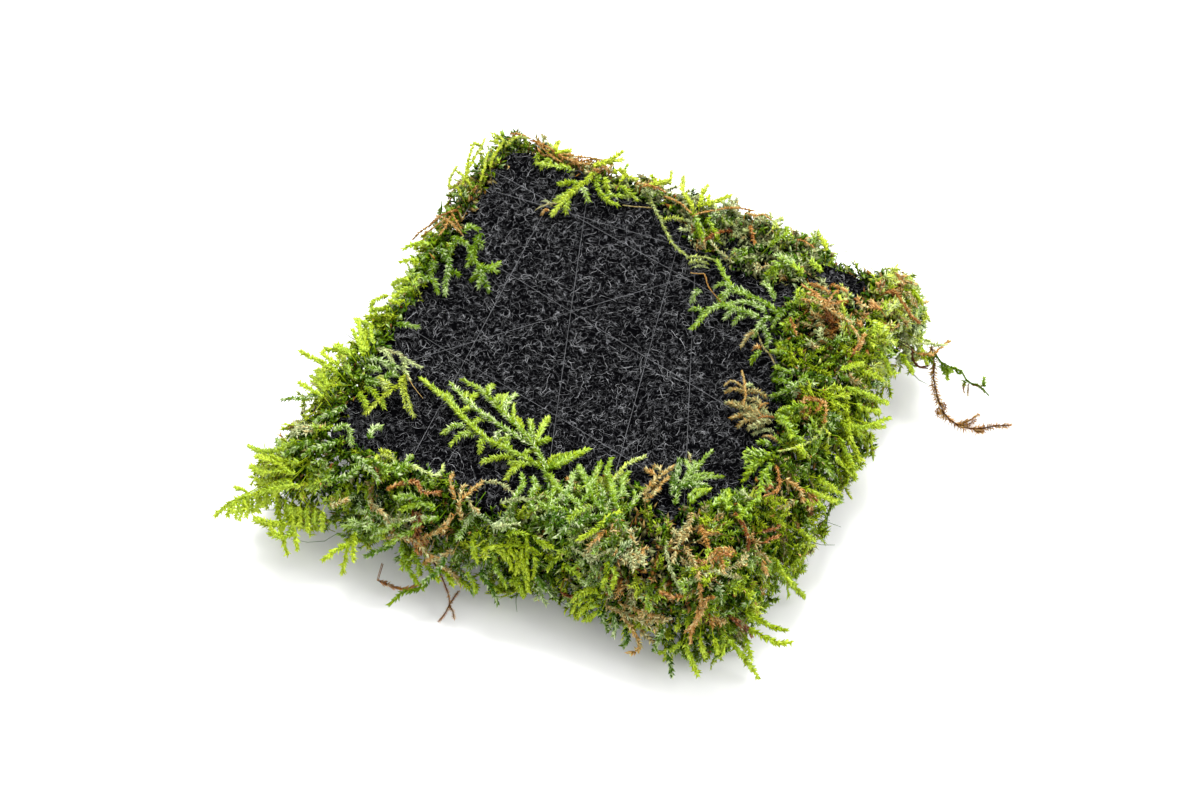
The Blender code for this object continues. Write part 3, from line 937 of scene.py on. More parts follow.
def clump_shoots(node, count, longest, rng):
    """Shoots whose tips lie on a clump's surface and whose roots lie back towards the rim and deeper.

    They run out and down, or inwards where they lie over the felt, and their tips point outwards.
    """
    point, normal = surface_points(node, count, rng)
    nearest_side = np.sign(point[:, :2]) * np.abs(point[:, :2] / FELT_HALF) ** 8
    out = np.column_stack([unit(nearest_side), np.zeros(count)])
    over_felt = (np.abs(point[:, :2]).max(-1) < FELT_HALF)[:, None]
    down = np.array([0, 0, -1.0])
    flow = np.where(over_felt, -INWARDS * out, OUTWARDS * out + DOWNWARDS * down)
    flow = flow + LIE_PULL * lie(point) + rng.normal(0, 0.35, (count, 3))
    flow = unit(flow - np.sum(flow * normal, -1, keepdims=True) * normal)
    length = rng.uniform(SHORTEST_SHOOT, longest, (count, 1)) * MM * np.where(over_felt, 0.75, 1)
    tip = point + normal * rng.uniform(*TIP_HEIGHTS, (count, 1)) * MM
    root = tip - length * unit(flow + rng.uniform(*ROOT_LEANS, (count, 1)) * normal)
    middle = (root + tip) / 2 + normal * rng.uniform(-0.15, 0.2, (count, 1)) * length
    face = unit(normal + rng.normal(0, 0.4, (count, 3)))
    tone, patch_light_and_shade = chart_place(point, rng)
    # Painted shade: shoots whose tips lie deeper in the clump are darker
    height = np.sum((tip - point) * normal, -1) / MM
    light = SHOOT_LIGHT + DEPTH_SHADE_A_MM * height + rng.normal(0, 0.08, count)
    return waved(bowed(root, middle, tip), SHOOT_WAVE, rng), face, tone, light + patch_light_and_shade


def share_over_moss(paths):
    """The share of each path up to where it comes out over the bare felt, and half a step more."""
    bare = over_bare_felt(paths.reshape(-1, 3)).reshape(len(paths), -1)
    return np.where(bare.any(1), (bare.argmax(1) + 0.5) / (PATH_POINTS - 1), 1)


def old_leaves(node, count, rng):
    """Large old leaves that fill the inside of a clump, between the felt's rim and its surface.

    Their colours are those of the shoots before them, but deeper green, as old leaves are, and dim with
    painted shade.
    """
    point, _ = surface_points(node, count, rng)
    tone, patch_light_and_shade = chart_place(point, rng)
    rim = nearest_felt(point)
    place = rim + (point - rim) * rng.uniform(*OLD_LEAF_DEPTHS, (count, 1))
    along = unit(rng.normal(0, 1, (count, 3)))
    face = unit(rng.normal(0, 1, (count, 3)))
    length = rng.uniform(*OLD_LEAF_LENGTHS, count) * MM
    tone = np.where(tone < OLDEST_GREEN, OLD_LEAF_TONE * tone, tone)
    # Painted shade: old leaves are dim, with the patches' painted light and shade on top
    light = rng.uniform(*OLD_LEAF_LIGHTS, count) + patch_light_and_shade
    return leaves(place, along, face, length, length / 2, tone, light, rng)


# The camera is the one that the felt's four corners fit in the photograph.
CAMERA_TURN, CAMERA_RISE = np.radians([25.7, 54.2])
CAMERA_AIM = np.array([-0.2, -1.4, 10]) * MM
CAMERA_REACH = 0.85
CAMERA_LENS = 132.9
CAMERA_SENSOR = 36
PHOTO_WIDE, PHOTO_HIGH = 1200, 800
# The level at which shoots lie over the felt, how far they lie in front of the moss, and how far each
# stem goes on into it
SHOOT_LEVEL = 23.6 * MM
SHOOT_LIFT = 0.7 * MM
ROOT_DEPTH = 3.5 * MM
TOWARDS_LIGHT = np.array([0.2, -0.4, 0.85])
# What share of its leaves a dead or a green shoot has lost, and how plump they are
DEAD_SHOOT, GREEN_SHOOT = (0.2, 1.15), (0.05, 1.35)
# Shoots that show by themselves: place on the chart, brightness, leaf size, how far the leaves open,
# and each shoot's places in the photograph from root to tip. A third number is a height in millimetres.
SHOWN_SHOOTS = [
    # Bright green tips round the left side
    (0.48, 0.74, 0.95, 0.95, [
        ((338, 372), (332, 369), (322, 362), (310, 357), (301, 352)),
        ((325, 398), (316, 393), (308, 388), (300, 383)),
        ((326, 392), (318, 382), (311, 376)),
        ((330, 390), (323, 378), (317, 371)),
        ((340, 366), (330, 360), (323, 353)),
        ((352, 356), (345, 352), (336, 349), (325, 350)),
        ((355, 352), (345, 350), (337, 345)),
        ((365, 352), (362, 342), (360, 331), (358, 320)),
        ((368, 352), (365, 340), (366, 321)),
        ((364, 356), (360, 345), (353, 330)),
        ((374, 345), (371, 335), (371, 325)),
        ((296, 440), (280, 450), (265, 452), (256, 450), (249, 446)),
        ((300, 462), (285, 462), (275, 458), (265, 456), (256, 457)),
        ((296, 474), (280, 470), (272, 472), (262, 472), (252, 468)),
        ((292, 480), (275, 483), (265, 484), (256, 480)),
        ((300, 485), (280, 488), (268, 489), (258, 493), (245, 497), (233, 501), (224, 508), (216, 515)),
        ((232, 501), (230, 508), (228, 514)),
        ((240, 498), (239, 508), (236, 517)),
        ((247, 496), (248, 507), (247, 515)),
        ((255, 494), (258, 503), (258, 511)),
        ((262, 491), (266, 500), (267, 508)),
        ((250, 496), (243, 490), (236, 488)),
        ((300, 520), (285, 525), (270, 526), (262, 524), (255, 520)),
        ((296, 532), (282, 538), (270, 534)),
        ((276, 500), (279, 515), (281, 530), (284, 545), (287, 553)),
        ((290, 505), (292, 520), (296, 535), (297, 548)),
        ((356, 530), (354, 545), (353, 560)),
        ((360, 540), (350, 545), (340, 548), (332, 553), (324, 559)),
        ((350, 540), (346, 552), (344, 563), (342, 573)),
        ((236, 500), (234, 506), (233, 511)),
        ((243, 497), (244, 505), (243, 513), (240, 519)),
        ((251, 495), (252, 503), (252, 510)),
        ((258, 492), (260, 500), (257, 508)),
        ((266, 489), (268, 497), (262, 505)),
        ((272, 487), (272, 495), (270, 503)),
        ((280, 480), (276, 490), (276, 500)),
        ((284, 500), (290, 510), (296, 513)),
        ((282, 522), (290, 517), (298, 512)),
        ((281, 522), (272, 523), (264, 521), (257, 518)),
        ((281, 536), (276, 534), (271, 530)),
        ((278, 476), (268, 472), (260, 470), (252, 466)),
        ((290, 470), (278, 464), (268, 460), (258, 457)),
        ((292, 480), (284, 486), (276, 492)),
        ((300, 505), (300, 516), (299, 526)),
        ((306, 508), (307, 518), (308, 529)),
        ((314, 510), (315, 520), (316, 531)),
        ((322, 512), (323, 522), (322, 530)),
        ((430, 243), (418, 244), (411, 246), (405, 249)),
        ((420, 262), (410, 260), (402, 262)),
        ((410, 281), (400, 280), (393, 284)),
        ((412, 287), (401, 292), (394, 297)),
        ((404, 299), (398, 303), (391, 301)),
        ((390, 307), (380, 309), (371, 310)),
        ((389, 295), (382, 297), (375, 300), (371, 307)),
        ((372, 325), (364, 323), (356, 320)),
    ]),
    # Greyer and deeper green ones there
    (0.3, 0.5, 1.0, 0.9, [
        ((325, 394), (314, 396), (305, 399), (292, 399), (283, 400)),
        ((345, 405), (336, 412), (326, 415), (316, 421)),
        ((340, 440), (326, 446), (314, 448), (304, 455)),
        ((310, 440), (296, 448), (286, 455), (279, 448), (277, 440)),
        ((330, 480), (345, 478), (356, 470), (364, 461)),
        ((350, 455), (362, 462), (371, 470), (378, 480)),
        ((372, 460), (382, 466), (392, 470), (402, 470), (410, 465)),
        ((395, 478), (402, 468), (408, 460), (412, 456)),
        ((430, 262), (438, 270), (440, 280)),
        ((442, 250), (447, 262), (450, 272), (448, 284)),
    ]),
    # Back left corner, thin and seen through
    (0.6, 0.46, 0.72, 0.8, [
        ((462, 186), (468, 170), (474, 158), (480, 150), (484, 141)),
        ((484, 150), (478, 144), (472, 145)),
        ((466, 176), (468, 162), (471, 151), (474, 144)),
        ((462, 196), (456, 186), (450, 190), (449, 182), (452, 175), (456, 168)),
        ((470, 186), (466, 178), (458, 172)),
        ((490, 168), (492, 158), (498, 150), (503, 143), (501, 132)),
        ((500, 146), (497, 142), (492, 141)),
        ((505, 148), (511, 140), (518, 137), (527, 138)),
        ((480, 182), (484, 170), (486, 160), (488, 153)),
    ]),
    # Green tips and twigs along the back
    (0.58, 0.52, 0.9, 0.9, [
        ((557, 155), (556, 148), (558, 142)),
        ((556, 154), (563, 152), (569, 151)),
        ((592, 166), (608, 161), (615, 157), (622, 152)),
        ((592, 166), (608, 162), (614, 161), (622, 160)),
        ((612, 174), (620, 169), (626, 174), (631, 179), (636, 179)),
        ((620, 182), (624, 176), (622, 170)),
        ((648, 186), (656, 184), (665, 183), (670, 180), (671, 173)),
        ((652, 186), (660, 181), (668, 182)),
        ((694, 210), (690, 202), (685, 196), (682, 187), (683, 178)),
        ((699, 208), (701, 200), (703, 192), (707, 187)),
        ((704, 206), (707, 202), (709, 197)),
        ((706, 206), (714, 202), (722, 199), (729, 196)),
        ((826, 252), (825, 244), (820, 236)),
    ]),
    # Bare green twigs that stand off the back and the right
    (0.24, 0.3, 0, 0, [
        ((810, 241), (813, 240), (818, 236), (823, 235), (829, 231), (831, 227), (834, 221)),
        ((838, 252), (846, 252), (853, 249), (860, 244), (865, 239), (872, 234)),
        ((590, 166), (597, 157), (603, 152), (609, 150), (612, 148)),
        ((640, 184), (643, 178), (644, 172), (641, 168)),
        ((694, 204), (692, 200), (691, 196)),
        ((822, 498), (826, 507), (830, 516)),
        ((812, 511), (821, 516), (830, 521)),
        ((817, 519), (830, 523), (841, 527)),
        ((808, 541), (822, 545), (835, 545)),
        ((801, 551), (806, 556), (808, 562)),
        ((280, 510), (270, 510), (262, 510)),
        ((348, 538), (340, 530), (335, 536), (325, 541), (312, 543), (300, 541), (291, 539)),
        ((352, 338), (346, 334), (341, 337)),
        ((382, 318), (372, 310), (370, 303), (368, 296)),
        ((548, 591), (556, 598), (563, 604), (571, 606)),
        ((516, 595), (516, 604), (517, 612)),
        ((925, 327), (934, 329), (938, 334), (940, 341), (944, 346)),
        ((919, 380), (925, 383), (931, 386)),
    ]),
    # Orange-brown strands along the back rim and at the back left corner
    (0.88, 0.56, 0.6, 0.7, [
        ((536, 143), (545, 150), (552, 157), (560, 161)),
        ((530, 140), (540, 143), (550, 149), (560, 155)),
        ((552, 150), (560, 156), (570, 160), (580, 163)),
        ((560, 153), (572, 156), (585, 157), (597, 159), (604, 167)),
        ((585, 160), (595, 163), (602, 164), (606, 166)),
        ((580, 162), (590, 159), (600, 160), (610, 160)),
        ((565, 165), (575, 163), (588, 164), (598, 165)),
        ((640, 187), (648, 185), (656, 187), (664, 191)),
        ((458, 210), (450, 212), (440, 216), (431, 223)),
        ((445, 218), (452, 224), (458, 231), (463, 238)),
        ((452, 213), (456, 221), (461, 229)),
        ((446, 219), (438, 224), (430, 230), (422, 236)),
        ((440, 216), (432, 224), (420, 232), (414, 238)),
        ((450, 216), (446, 226), (440, 234)),
        ((510, 134), (519, 134), (529, 138)),
        ((755, 211), (745, 209), (733, 207), (722, 209), (712, 211), (702, 212), (694, 216)),
        ((745, 213), (755, 216), (763, 214), (770, 219)),
        ((797, 239), (804, 241), (812, 246)),
        ((664, 196), (674, 200), (683, 205), (690, 212)),
        ((636, 184), (646, 184), (655, 188)),
    ]),
    # Red-brown ones
    (0.94, 0.46, 0.8, 0.8, [
        ((732, 230), (722, 232), (712, 236), (706, 240)),
        ((750, 225), (752, 234), (754, 243)),
        ((735, 512), (741, 520), (745, 528), (748, 538), (748, 549)),
        ((762, 532), (770, 530), (779, 527)),
        ((764, 543), (771, 539), (778, 536)),
        ((768, 483), (772, 487), (766, 490)),
        ((716, 597), (708, 599), (703, 607), (700, 614)),
        ((400, 486), (408, 482), (416, 481), (420, 490), (428, 494), (438, 492)),
        ((386, 490), (394, 486), (402, 482)),
        ((884, 293), (891, 290), (897, 294), (902, 300), (906, 308), (911, 316), (919, 323)),
        ((816, 412), (822, 404), (816, 399), (806, 398)),
    ]),
    # The ochre mass by the back right corner
    (0.88, 0.6, 0.75, 0.8, [
        ((797, 284), (806, 288), (815, 293), (825, 301)),
        ((800, 299), (812, 301), (822, 304), (832, 311), (842, 317), (851, 322)),
        ((830, 285), (838, 287), (846, 291)),
        ((803, 283), (812, 284), (821, 287), (829, 292)),
        ((806, 293), (816, 297), (828, 306)),
        ((838, 290), (832, 296), (826, 305)),
        ((845, 300), (838, 303), (830, 304)),
        ((790, 317), (793, 325), (796, 334)),
        ((858, 352), (861, 343), (864, 334)),
        ((852, 356), (856, 348), (863, 341)),
        ((824, 424), (826, 413), (826, 403), (818, 400), (807, 399)),
        ((776, 465), (778, 473), (780, 481), (779, 488), (775, 492), (766, 495)),
        ((918, 354), (931, 355), (938, 351), (943, 345), (949, 341)),
        ((850, 325), (856, 332), (860, 342)),
        ((896, 272), (899, 278), (903, 284)),
    ]),
    # Tan dead shoots over the front
    (0.83, 0.54, 0.95, 0.9, [
        ((385, 538), (395, 536), (405, 538), (416, 540), (424, 550), (430, 558)),
        ((428, 556), (437, 561), (445, 568), (455, 576), (461, 585)),
        ((416, 540), (425, 537), (435, 533), (445, 527), (450, 518)),
        ((455, 550), (448, 553), (440, 558), (433, 560)),
        ((422, 566), (427, 562), (432, 558)),
        ((368, 503), (376, 509), (383, 513), (388, 521)),
        ((330, 506), (338, 503), (346, 500)),
        ((462, 520), (458, 508), (460, 496), (464, 486)),
        ((456, 500), (452, 490), (450, 480), (453, 474)),
        ((462, 500), (470, 492), (478, 486), (483, 482)),
        ((455, 515), (448, 522), (443, 530)),
        ((468, 500), (472, 506), (478, 512)),
        ((645, 503), (645, 496), (648, 488), (655, 480), (664, 473), (673, 467)),
        ((652, 488), (660, 484), (667, 478)),
        ((648, 498), (654, 492), (660, 489)),
        ((656, 476), (650, 472), (646, 470)),
        ((662, 474), (660, 469), (655, 467)),
        ((690, 513), (691, 520), (690, 530), (684, 540)),
        ((690, 520), (683, 530), (679, 540), (675, 551), (673, 561)),
        ((684, 545), (690, 556), (696, 566), (699, 578)),
        ((605, 606), (618, 612), (630, 617), (645, 620), (660, 622), (669, 619)),
        ((618, 603), (635, 610), (650, 616), (663, 618)),
        ((622, 611), (640, 621), (656, 629)),
        ((622, 616), (629, 624), (634, 632), (638, 640), (641, 647), (637, 651), (630, 653)),
        ((640, 631), (648, 637), (653, 642)),
        ((762, 558), (763, 566), (767, 574)),
        ((785, 480), (792, 484), (800, 490), (802, 500)),
        ((795, 500), (788, 505), (780, 508)),
    ]),
    # Orange dead shoots over the front right corner
    (0.88, 0.58, 0.9, 0.9, [
        ((700, 525), (704, 534), (706, 541), (709, 549)),
        ((737, 553), (728, 549), (718, 549), (711, 555), (705, 562)),
        ((733, 556), (722, 553), (712, 560)),
        ((720, 556), (722, 564), (724, 572)),
        ((699, 582), (700, 592), (702, 603), (701, 614), (695, 623), (690, 632), (691, 642)),
        ((697, 608), (699, 618), (692, 626), (686, 631)),
        ((709, 596), (705, 604), (700, 612)),
        ((684, 596), (674, 598), (668, 594), (662, 593)),
        ((606, 530), (598, 538), (590, 545)),
    ]),
    # Pale stems and grey-green dead shoots
    (0.75, 0.5, 0.8, 0.85, [
        ((742, 577), (731, 576), (722, 573), (713, 570), (706, 575)),
        ((665, 545), (668, 560), (672, 572), (676, 582), (682, 591)),
        ((737, 269), (731, 262), (724, 255), (717, 250), (712, 243)),
        ((706, 240), (700, 243), (697, 250)),
        ((704, 256), (698, 258), (690, 255)),
        ((706, 267), (700, 269), (694, 270)),
        ((755, 500), (748, 497), (742, 492)),
        ((484, 482), (495, 482), (505, 486), (513, 493)),
        ((500, 503), (510, 500), (520, 499), (535, 500)),
        ((492, 529), (500, 527), (510, 525), (518, 524)),
        ((570, 547), (580, 552), (588, 558), (595, 571)),
        ((612, 548), (605, 553), (598, 556), (591, 561)),
        ((388, 519), (400, 521), (415, 518), (430, 517)),
        ((366, 500), (376, 507), (384, 514), (389, 525)),
        ((914, 344), (930, 344), (938, 345), (946, 345)),
        ((418, 281), (426, 280), (433, 283), (437, 289)),
    ]),
    # Bright tips down the right side
    (0.46, 0.56, 0.95, 0.95, [
        ((846, 388), (858, 391), (870, 396), (878, 400), (887, 403)),
        ((850, 425), (862, 428), (872, 425), (882, 421), (889, 418)),
        ((862, 422), (872, 427), (884, 427)),
        ((848, 420), (857, 433), (866, 438), (872, 441)),
        ((842, 420), (848, 432), (855, 448), (858, 459)),
        ((838, 436), (844, 448), (852, 466), (855, 478)),
        ((836, 455), (841, 464), (847, 472), (853, 478)),
        ((805, 488), (818, 495), (828, 499), (839, 502)),
        ((818, 478), (828, 485), (839, 493)),
        ((846, 404), (848, 418), (849, 430), (850, 442)),
        ((856, 404), (866, 410), (880, 412)),
        ((862, 372), (872, 374), (882, 380)),
        ((786, 568), (790, 580), (797, 590), (804, 596)),
        ((776, 560), (782, 572), (790, 582)),
        ((798, 530), (806, 536), (814, 540)),
        ((794, 548), (802, 546), (812, 546)),
        ((826, 510), (818, 504), (808, 502)),
        ((806, 458), (803, 452), (799, 448)),
        ((840, 370), (850, 366), (862, 364)),
        ((880, 352), (886, 362), (890, 372)),
        ((900, 352), (906, 362), (912, 372)),
        ((920, 340), (922, 352), (926, 362)),
        ((911, 290), (916, 296), (921, 302)),
    ]),
    # Thick pale stem down the right side
    (0.64, 0.42, 0.65, 0.6, [
        ((827, 418), (822, 430), (816, 437), (809, 442), (800, 447), (790, 449), (780, 451)),
        ((800, 447), (805, 452), (809, 458)),
        ((824, 428), (829, 434), (828, 441)),
    ]),
    # Green shoots that reach in over the felt from the right
    (0.38, 0.56, 1.0, 0.95, [
        ((788, 354), (780, 352), (771, 352)),
        ((792, 373), (784, 370), (775, 367)),
        ((790, 383), (782, 381), (774, 380)),
        ((792, 389), (782, 392), (772, 396)),
        ((790, 341), (784, 343), (779, 344)),
        ((804, 404), (792, 408), (785, 411), (776, 417)),
        ((780, 415), (785, 422), (789, 428), (791, 436)),
        ((788, 428), (796, 436), (803, 443)),
        ((775, 452), (768, 455), (760, 462), (751, 471), (743, 480)),
        ((767, 452), (757, 452), (747, 451)),
        ((764, 456), (755, 456), (746, 457)),
        ((761, 460), (754, 461), (747, 462)),
        ((757, 464), (752, 466), (747, 469)),
        ((773, 463), (766, 470), (762, 478), (761, 487), (758, 499)),
        ((763, 474), (768, 478), (770, 484)),
        ((758, 498), (750, 506), (744, 512), (740, 517)),
        ((772, 444), (765, 443), (760, 442)),
        ((734, 508), (726, 505), (722, 498), (728, 490)),
        ((690, 504), (696, 497), (702, 493), (709, 490)),
        ((688, 500), (694, 492), (702, 489)),
        ((712, 508), (716, 502), (722, 500)),
        ((728, 512), (727, 502), (729, 492)),
        ((752, 520), (746, 515), (741, 508)),
        ((838, 281), (836, 275), (841, 270)),
        ((806, 278), (800, 272), (794, 266)),
        ((826, 274), (818, 268), (812, 262)),
        ((800, 268), (790, 264), (782, 259)),
        ((775, 285), (769, 278), (762, 283)),
        ((782, 262), (774, 268), (768, 274)),
        ((775, 322), (768, 316), (762, 308)),
        ((694, 217), (698, 223), (700, 231), (703, 239)),
        ((696, 230), (692, 238), (688, 244)),
        ((706, 218), (712, 226), (716, 234)),
    ]),
    # Bright sprays low on the front
    (0.48, 0.58, 1.0, 0.6, [
        ((542, 556), (530, 548), (512, 545), (497, 546), (485, 549)),
        ((492, 548), (500, 551), (505, 558)),
        ((500, 547), (508, 556), (512, 568)),
        ((508, 547), (516, 558), (518, 571)),
        ((514, 548), (523, 558), (524, 574), (529, 591)),
        ((522, 547), (521, 560), (516, 572)),
        ((526, 536), (528, 548), (526, 562), (529, 578)),
        ((532, 552), (536, 563), (533, 576)),
    ]),
    (0.4, 0.5, 0.9, 0.9, [
        ((532, 536), (542, 543), (552, 547)),
        ((505, 536), (514, 532), (525, 534)),
        ((560, 556), (552, 562), (548, 570)),
        ((480, 532), (472, 538), (474, 552)),
        ((404, 554), (407, 566), (414, 578), (422, 588)),
        ((428, 584), (417, 590), (404, 592), (397, 597), (390, 604)),
    ]),
    (0.47, 0.58, 0.95, 0.95, [
        ((473, 540), (474, 550), (477, 560)),
        ((683, 641), (675, 648), (668, 651), (660, 653)),
        ((686, 643), (689, 654), (693, 664), (698, 674)),
        ((700, 638), (702, 648), (705, 657)),
        ((728, 638), (738, 650), (746, 661), (752, 668), (758, 677)),
        ((745, 636), (748, 646), (751, 658)),
        ((714, 638), (717, 648), (718, 657)),
        ((604, 520), (597, 529), (589, 533), (579, 539)),
        ((600, 525), (608, 517), (620, 512)),
        ((603, 599), (598, 592), (589, 590), (579, 593), (573, 600)),
        ((596, 600), (586, 599), (577, 603), (572, 612)),
        ((600, 606), (590, 605), (582, 609), (577, 617)),
        ((602, 611), (595, 613), (590, 618), (584, 620)),
        ((562, 565), (571, 570), (578, 575)),
        ((606, 562), (607, 574), (603, 585)),
        ((612, 566), (616, 576), (613, 587)),
        ((748, 628), (770, 640), (780, 644), (790, 642)),
        ((744, 612), (762, 622), (774, 628), (786, 630)),
    ]),
    # Fluffy shoots on the left of the front
    (0.41, 0.5, 0.95, 1.15, [
        ((400, 546), (404, 556), (402, 568)),
        ((412, 552), (418, 562), (420, 574)),
        ((424, 560), (430, 570), (438, 580)),
        ((436, 564), (446, 572), (452, 584)),
        ((450, 570), (458, 580), (468, 587)),
        ((466, 572), (474, 581), (476, 591)),
        ((480, 576), (490, 585), (500, 590)),
        ((494, 564), (500, 575), (506, 585)),
        ((512, 578), (520, 586), (524, 596)),
    ]),
    (0.38, 0.58, 1.0, 1.1, [
        ((436, 508), (424, 504), (412, 505), (402, 510)),
        ((440, 518), (428, 518), (416, 524)),
        ((420, 500), (408, 496), (396, 498)),
        ((404, 520), (394, 524), (384, 530)),
        ((414, 530), (404, 534), (394, 540), (386, 546)),
    ]),
    # Fluffy shoots on the crest behind the front, every way
    (0.34, 0.6, 0.85, 1.25, [
        ((512, 506), (516, 494), (524, 486), (522, 475)),
        ((534, 512), (530, 497), (536, 486), (533, 478)),
        ((556, 514), (550, 500), (556, 488), (550, 475)),
        ((548, 506), (560, 499), (569, 489), (573, 474)),
        ((584, 512), (576, 500), (564, 494), (556, 484)),
        ((580, 504), (590, 492), (586, 480), (579, 466)),
        ((606, 512), (594, 502), (590, 490), (594, 478), (601, 463)),
        ((596, 486), (586, 478), (578, 470)),
        ((622, 512), (612, 500), (614, 486), (606, 474), (611, 459)),
        ((610, 496), (622, 490), (622, 480), (628, 472)),
        ((572, 516), (562, 508), (552, 510), (540, 504)),
        ((626, 508), (636, 502), (634, 492)),
    ]),
    (0.24, 0.5, 0.85, 1.2, [
        ((540, 520), (548, 514), (560, 517), (572, 512)),
        ((576, 524), (586, 516), (598, 518), (608, 512)),
        ((556, 526), (566, 520), (580, 524)),
        ((604, 524), (612, 516), (622, 518)),
        ((566, 506), (566, 494), (572, 486)),
        ((598, 508), (604, 496), (600, 486)),
    ]),
    (0.4, 0.62, 1.0, 1.0, [
        ((548, 470), (556, 462), (568, 455)),
        ((552, 467), (566, 460), (576, 454), (587, 450)),
    ]),
    (0.68, 0.62, 0.9, 0.8, [
        ((410, 465), (418, 469), (427, 473), (435, 476), (441, 473), (443, 466)),
        ((612, 480), (618, 474), (625, 466), (634, 460), (644, 457)),
        ((630, 508), (635, 500), (641, 494)),
    ]),
    # Deep green hanging ones low on the front
    (0.24, 0.5, 1.0, 0.85, [
        ((668, 645), (669, 655), (671, 665), (672, 675)),
        ((395, 545), (385, 548), (375, 552), (367, 556)),
        ((446, 556), (440, 570), (432, 575), (424, 582)),
        ((480, 570), (486, 580), (492, 590), (497, 602)),
        ((460, 575), (468, 584), (474, 592)),
        ((535, 575), (545, 588), (556, 598)),
        ((600, 610), (604, 620), (608, 630)),
        ((612, 612), (616, 624), (614, 634)),
        ((625, 628), (628, 638), (624, 646)),
        ((664, 628), (658, 640), (654, 650)),
        ((560, 512), (554, 520), (548, 530)),
        ((572, 520), (566, 528), (558, 536)),
        ((681, 458), (679, 470), (675, 480), (672, 492)),
        ((760, 590), (752, 598), (745, 605)),
    ]),
    # Dark red-brown scraps
    (0.98, 0.24, 0.6, 0.6, [
        ((912, 347), (912, 356), (915, 364), (920, 367), (927, 366)),
        ((912, 350), (913, 360), (918, 367), (926, 368)),
    ]),
    (0.97, 0.5, 0.9, 0.6, [
        ((731, 618), (738, 624), (745, 629), (752, 636)),
        ((736, 619), (744, 625), (751, 630)),
        ((560, 592), (567, 596), (574, 598)),
        ((377, 580, 3), (386, 584, 3), (394, 587, 3), (402, 589, 3.2), (412, 588, 4), (420, 584, 5)),
        ((378, 581, 3.4), (387, 584, 3.6), (395, 587, 3.4)),
    ]),
]


def sight_lines(pixels):
    """The camera's place and the direction of its line of sight through each pixel of the photograph."""
    back = np.array([
        np.sin(CAMERA_TURN) * np.cos(CAMERA_RISE),
        -np.cos(CAMERA_TURN) * np.cos(CAMERA_RISE),
        np.sin(CAMERA_RISE),
    ])
    right = np.array([np.cos(CAMERA_TURN), np.sin(CAMERA_TURN), 0])
    up = np.cross(back, right)
    flat = (pixels - np.array([PHOTO_WIDE, PHOTO_HIGH]) / 2) * CAMERA_SENSOR / CAMERA_LENS / PHOTO_WIDE
    return CAMERA_AIM + CAMERA_REACH * back, unit(flat[:, :1] * right - flat[:, 1:] * up - back)


def clump_tree():
    """All clumps' solids for finding where a line of sight meets them, and the clump of each triangle."""
    parts = [solid_faces(node)[0] for node in CLUMPS]
    corners = np.concatenate(parts).reshape(-1, 3)
    index = np.arange(len(corners)).reshape(-1, 3)
    clumps = np.repeat(list(CLUMPS), [len(part) for part in parts])
    return BVHTree.FromPolygons(corners.tolist(), index.tolist()), clumps


def lay_on_clumps(route, before):
    """A shoot's places where its lines of sight meet the moss, with its tip's distance and its clump.

    A line that passes the moss meets the felt's level, or else keeps the distance of its neighbours,
    and a shoot that meets nothing keeps the distance and clump of the shoot before, which it springs
    from. It is drawn straight from root to tip in distance, wherever the moss isn't nearer, and lies
    a little in front of it. Points are spread evenly along it.
    """
    before_away, before_clump = before
    points = np.array(route, float)
    eye, lines = sight_lines(points[:, :2])
    away = np.full(len(points), np.nan)
    clump = None
    for i, line in enumerate(lines):
        place, _, triangle, distance = tree.ray_cast(Vector(eye), Vector(line))
        if place is not None:
            away[i] = distance
            clump = clump or str(triangle_clump[triangle])
    level = (eye[2] - SHOOT_LEVEL) / -lines[:, 2]
    meets_felt = (np.abs((eye + level[:, None] * lines)[:, :2]) < FELT_HALF).all(-1)
    away = np.where(np.isnan(away) & meets_felt, level + SHOOT_LIFT, away)
    if points.shape[1] == 3:
        away = (eye[2] - points[:, 2] * MM) / -lines[:, 2] + SHOOT_LIFT
    if np.isnan(away).all():
        away[:] = before_away + SHOOT_LIFT
    known = ~np.isnan(away)
    step = np.arange(len(points))
    away = np.interp(step, step[known], away[known])
    away = np.minimum(np.linspace(away[0], away[-1], len(points)), away) - SHOOT_LIFT
    return spread_evenly(eye + away[:, None] * lines), (away[-1], clump or before_clump)


tree, triangle_clump = clump_tree()
shown = {clump: [] for clump in CLUMPS}
stem = (0, "fringe_front")
for tone, light, leaf, opening, routes in SHOWN_SHOOTS:
    for route in routes:
        path, stem = lay_on_clumps(route, stem)
        shown[stem[1]].append((path, tone, light, leaf, opening))


def shown_shoots(clump, rng):
    """The shown shoots of one clump, their faces towards the light, with leaves and a stem each.

    Each stem goes on past its root, into the moss or the felt.
    """
    parts = []
    for path, tone, light, leaf, opening in shown[clump]:
        face = unit(TOWARDS_LIGHT + rng.normal(0, 0.2, (1, 3)))
        tones, lights = tone + rng.normal(0, 0.02, 1), light + rng.normal(0, 0.05, 1)
        if leaf:
            lost, plump = DEAD_SHOOT if tone > OLDEST_GREEN else GREEN_SHOOT
            parts.append(leaf_rows(
                path[None], face, tones, lights, rng, leaf, opening, plump=plump, lost=lost,
            ))
        root = path[:1] + ROOT_DEPTH * unit(nearest_felt(path[:1]) - path[:1])
        rooted = np.concatenate([root, root, path])
        parts.append(bare_stems(rooted[None], STEM_RADIUS, tones, lights - 0.1))
    return gather(parts)


